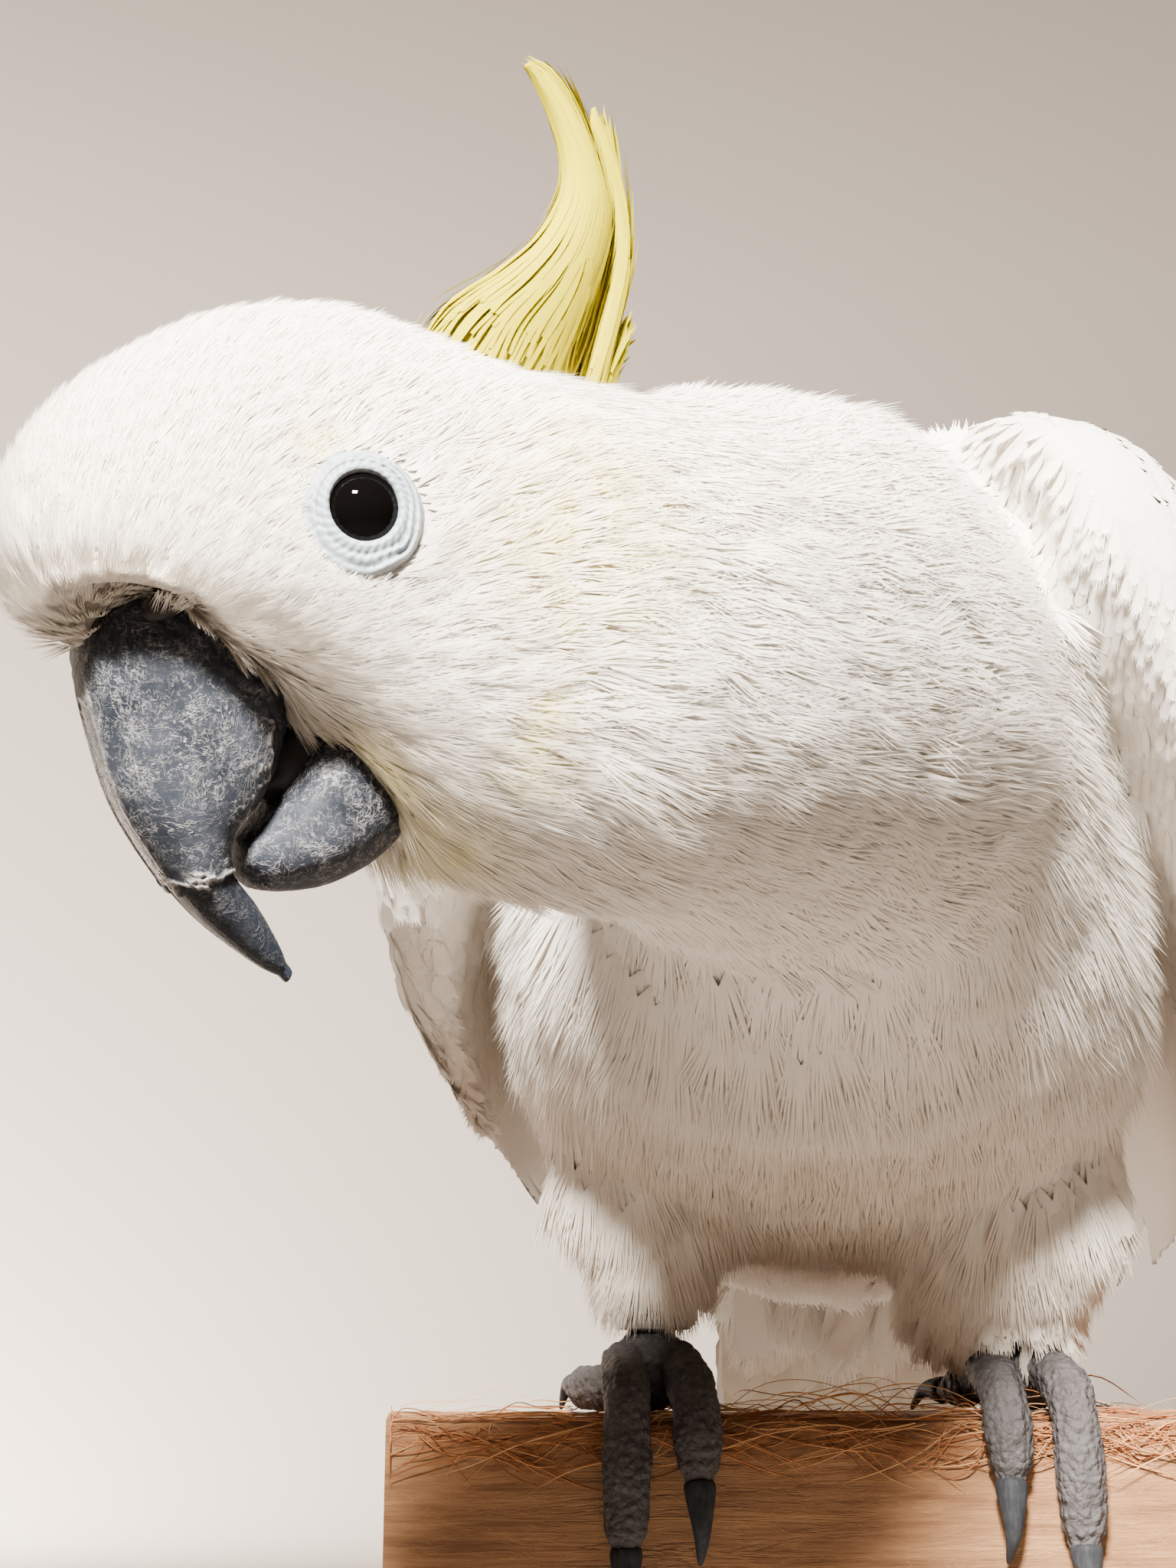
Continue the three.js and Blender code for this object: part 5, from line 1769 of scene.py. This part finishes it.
scaled_skin = foot_finish()
for word in ("left", "right"):
    nodes = [f"foot_{word}"] + [f"toe_{digit}_{word}" for digit in (1, 2, 3, 4)]
    foot = copy_nodes(f"foot_skin_{word}", *nodes)
    apply_modifier(foot, "DISPLACE", strength=0.35 * MM, mid_level=0)
    refine(foot, FOOT_VOXEL, 10)
    points, normals = coordinates(foot), vertex_normals(foot)
    pebbles = np.array([noise.voronoi(Vector(p) / (PEBBLE_SIZE * MM))[0][0] for p in points])
    folds = np.array([ragged(*(p / (FOLD_SIZE * MM)), seed=11) for p in points])
    rise = 0.30 - 0.55 * pebbles + 0.30 * folds - 0.25
    for digit in (1, 2, 3, 4):
        root, way = claw_seat(digit, word)
        along = (points - root) @ way / MM
        axis = root + way * (along * MM)[:, None]
        off = points - axis
        near = (along > -9) & (along < 4) & (np.linalg.norm(off, axis=1) < 8 * MM)
        waist = 1 - TOE_END_WAIST * smoothstep(along, -8, 0.5) + 0.03 * np.sin(along * 1.9)
        points = np.where(near[:, None], axis + off * waist[:, None], points)
    low = smoothstep(points[:, 2], PERCH_TOP, PERCH_TOP + 0.6 * MM)
    on_timber = (np.abs(points[:, 1]) < 30 * MM) & (points[:, 2] < PERCH_TOP + 1.5 * MM)
    rise = np.where(on_timber, np.minimum(rise, 0) * low, rise)
    move_points(foot, points + normals * rise[:, None] * MM)
    select_only(foot)
    bpy.ops.object.shade_smooth()
    foot.data.materials.append(scaled_skin)
    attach(foot, "root")
    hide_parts(*nodes)


# ---------------------------------------------------------------- claws
# Curved dark horn with a smooth ridge, worn a little paler along its length. Each is seated
# in the end of its toe.
CLAW_SCALE = 1.28


def claw_finish():
    look = new_finish("claw_horn")
    where = look.place()
    clouds = look.noise(where, 260, 4, 0.6)
    lines = look.noise(look.place(scale=(1, 1, 0.15)), 1600, 3, 0.6)
    ground = look.mix(look.clamp(clouds * 2.2 - 0.6), (0.016, 0.018, 0.023), (0.036, 0.038, 0.043))
    worn = look.mix(look.clamp(lines * 3 - 1.5) * 0.4, ground, (0.09, 0.093, 0.096))
    return look.set(Base_Color=worn, Roughness=0.5 + clouds * 0.2, Specular_IOR_Level=0.12,
                    Normal=look.bump(lines, 0.3, 0.0003))


claw_horn = claw_finish()
for word in ("left", "right"):
    for digit in (1, 2, 3, 4):
        claw = copy_nodes(f"claw_horn_{digit}_{word}", f"claw_{digit}_{word}")
        points = coordinates(claw)
        toe = surface_of(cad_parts[f"toe_{digit}_{word}"])
        away = distance_to(toe, points)
        tip = points[away.argmax()]
        move_points(claw, tip + (points - tip) * CLAW_SCALE)
        select_only(claw)
        bpy.ops.object.mode_set(mode="EDIT")
        bpy.ops.mesh.select_all(action="SELECT")
        bpy.ops.mesh.tris_convert_to_quads()
        bpy.ops.object.mode_set(mode="OBJECT")
        apply_modifier(claw, "SUBSURF", levels=3, render_levels=3)
        select_only(claw)
        bpy.ops.object.shade_smooth()
        claw.data.materials.append(claw_horn)
        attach(claw, "root")
        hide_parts(f"claw_{digit}_{word}")


# ---------------------------------------------------------------- leg ring
# A plain closed band of dull aluminium round the right shank, its edges rounded by wear.
def ring_finish():
    look = new_finish("dull_aluminium")
    scuffs = look.noise(look.place(scale=(1, 1, 12)), 700, 5, 0.7)
    tone = look.mix(look.clamp(scuffs * 2 - 0.5), (0.20, 0.20, 0.20), (0.38, 0.38, 0.375))
    return look.set(Base_Color=tone, Metallic=1.0, Roughness=0.38 + scuffs * 0.2,
                    Normal=look.bump(scuffs, 0.25, 0.0002))


leg_band = copy_nodes("leg_band", "leg_ring")
apply_modifier(leg_band, "BEVEL", width=0.35 * MM, segments=3, limit_method="ANGLE",
               angle_limit=radians(50))
select_only(leg_band)
bpy.ops.object.shade_smooth_by_angle(angle=radians(35))
leg_band.data.materials.append(ring_finish())
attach(leg_band, "root")
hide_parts("leg_ring")


# ---------------------------------------------------------------- bark fibres
# Reddish fibres torn from the timber by claws and bill. They fuzz the upper edges and stand
# off in loose loops beside the feet.
FIBRE_COUNT = 620
FIBRE_SIDES = 4
FIBRE_ROWS = 14


def fibre_finish():
    look = new_finish("bark_fibre")
    tone = look.attribute("tone")
    colour = look.ramp(tone, (0, (0.24, 0.075, 0.02)), (0.5, (0.42, 0.16, 0.05)), (1, (0.62, 0.33, 0.14)))
    return look.set(Base_Color=colour, Roughness=0.75)


def fibre_path(chance):
    """Points of one strand: along the beam near an upper edge, more or less off the timber."""
    half_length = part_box("perch_beam")[1].x / MM
    half_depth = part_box("perch_beam")[1].y / MM
    side = -1 if chance.random() < 0.7 else 1
    length = chance.uniform(6, 36)
    heading = chance.choice((-1, 1))
    start = chance.uniform(-half_length + 3, half_length - 3)
    u = np.linspace(0, 1, FIBRE_ROWS)
    lift = chance.uniform(0.2, 1.0) ** 4 * 8 * length / 34
    drop = chance.uniform(-12, 5)
    wave = chance.normal(0, 1, 4)
    x = start + heading * length * u + wave[0] * np.sin(u * 6 + wave[3]) * 1.8
    over = chance.uniform(-1.2, 1.2) + lift * np.sin(u * pi * chance.uniform(0.7, 1.2))
    over = over + 0.5 * wave[1] * np.sin(u * 9)
    on_face = drop < -0.5
    y = side * (half_depth + np.where(on_face, np.maximum(over, 0.06) * 0.7, -chance.uniform(0, 6)))
    z = PERCH_TOP / MM + np.where(on_face, drop * u - chance.uniform(0, 3) * on_face, np.maximum(over, 0.06))
    z = z + wave[2] * np.sin(u * 7) * on_face * 0.9
    return np.stack([np.clip(x, -half_length + 1, half_length - 1), y, z], 1)


def tease_fibres(count):
    """All strands as one piece. A strand squeezed flat at the beam's end still keeps a direction."""
    chance = np.random.default_rng(900)
    points, charts, tones, facing = [], [], [], []
    for _ in range(count):
        path = fibre_path(chance)
        way = np.gradient(path, axis=0) + (1e-6, 0, 0)
        way /= np.linalg.norm(way, axis=1, keepdims=True)
        side = np.cross(way, (0.1, 0.2, 1.0))
        side /= np.linalg.norm(side, axis=1, keepdims=True)
        up = np.cross(side, way)
        radius = chance.uniform(0.05, 0.17) * np.clip((1 - np.linspace(0, 1, FIBRE_ROWS)) * 4, 0.15, 1)
        ring = np.arange(FIBRE_SIDES) / FIBRE_SIDES * 2 * pi
        out = np.cos(ring)[None, :, None] * side[:, None] + np.sin(ring)[None, :, None] * up[:, None]
        points.append((path[:, None] + out * radius[:, None, None]).reshape(-1, 3) * MM)
        facing.append(out.reshape(-1, 3))
        charts.append(chance.random(2) * 0.98 + 0.01)
        tones.append(np.full(FIBRE_ROWS * FIBRE_SIDES, chance.random()))
    faces = []
    for i in range(FIBRE_ROWS - 1):
        for k in range(FIBRE_SIDES):
            n = (k + 1) % FIBRE_SIDES
            faces.append((i * FIBRE_SIDES + k, (i + 1) * FIBRE_SIDES + k, (i + 1) * FIBRE_SIDES + n,
                          i * FIBRE_SIDES + n))
    faces.append(tuple(range(FIBRE_SIDES)))
    faces.append(tuple((FIBRE_ROWS - 1) * FIBRE_SIDES + k for k in reversed(range(FIBRE_SIDES))))
    patch = np.zeros((count, FIBRE_ROWS * FIBRE_SIDES, 2)) + 0.5
    return joined_mesh("bark_fibres", np.array(points), faces, patch, np.array(charts), np.array(facing),
                       {"tone": np.array(tones)})


fibres = tease_fibres(FIBRE_COUNT)
fibres.data.materials.append(fibre_finish())
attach(fibres, "root")
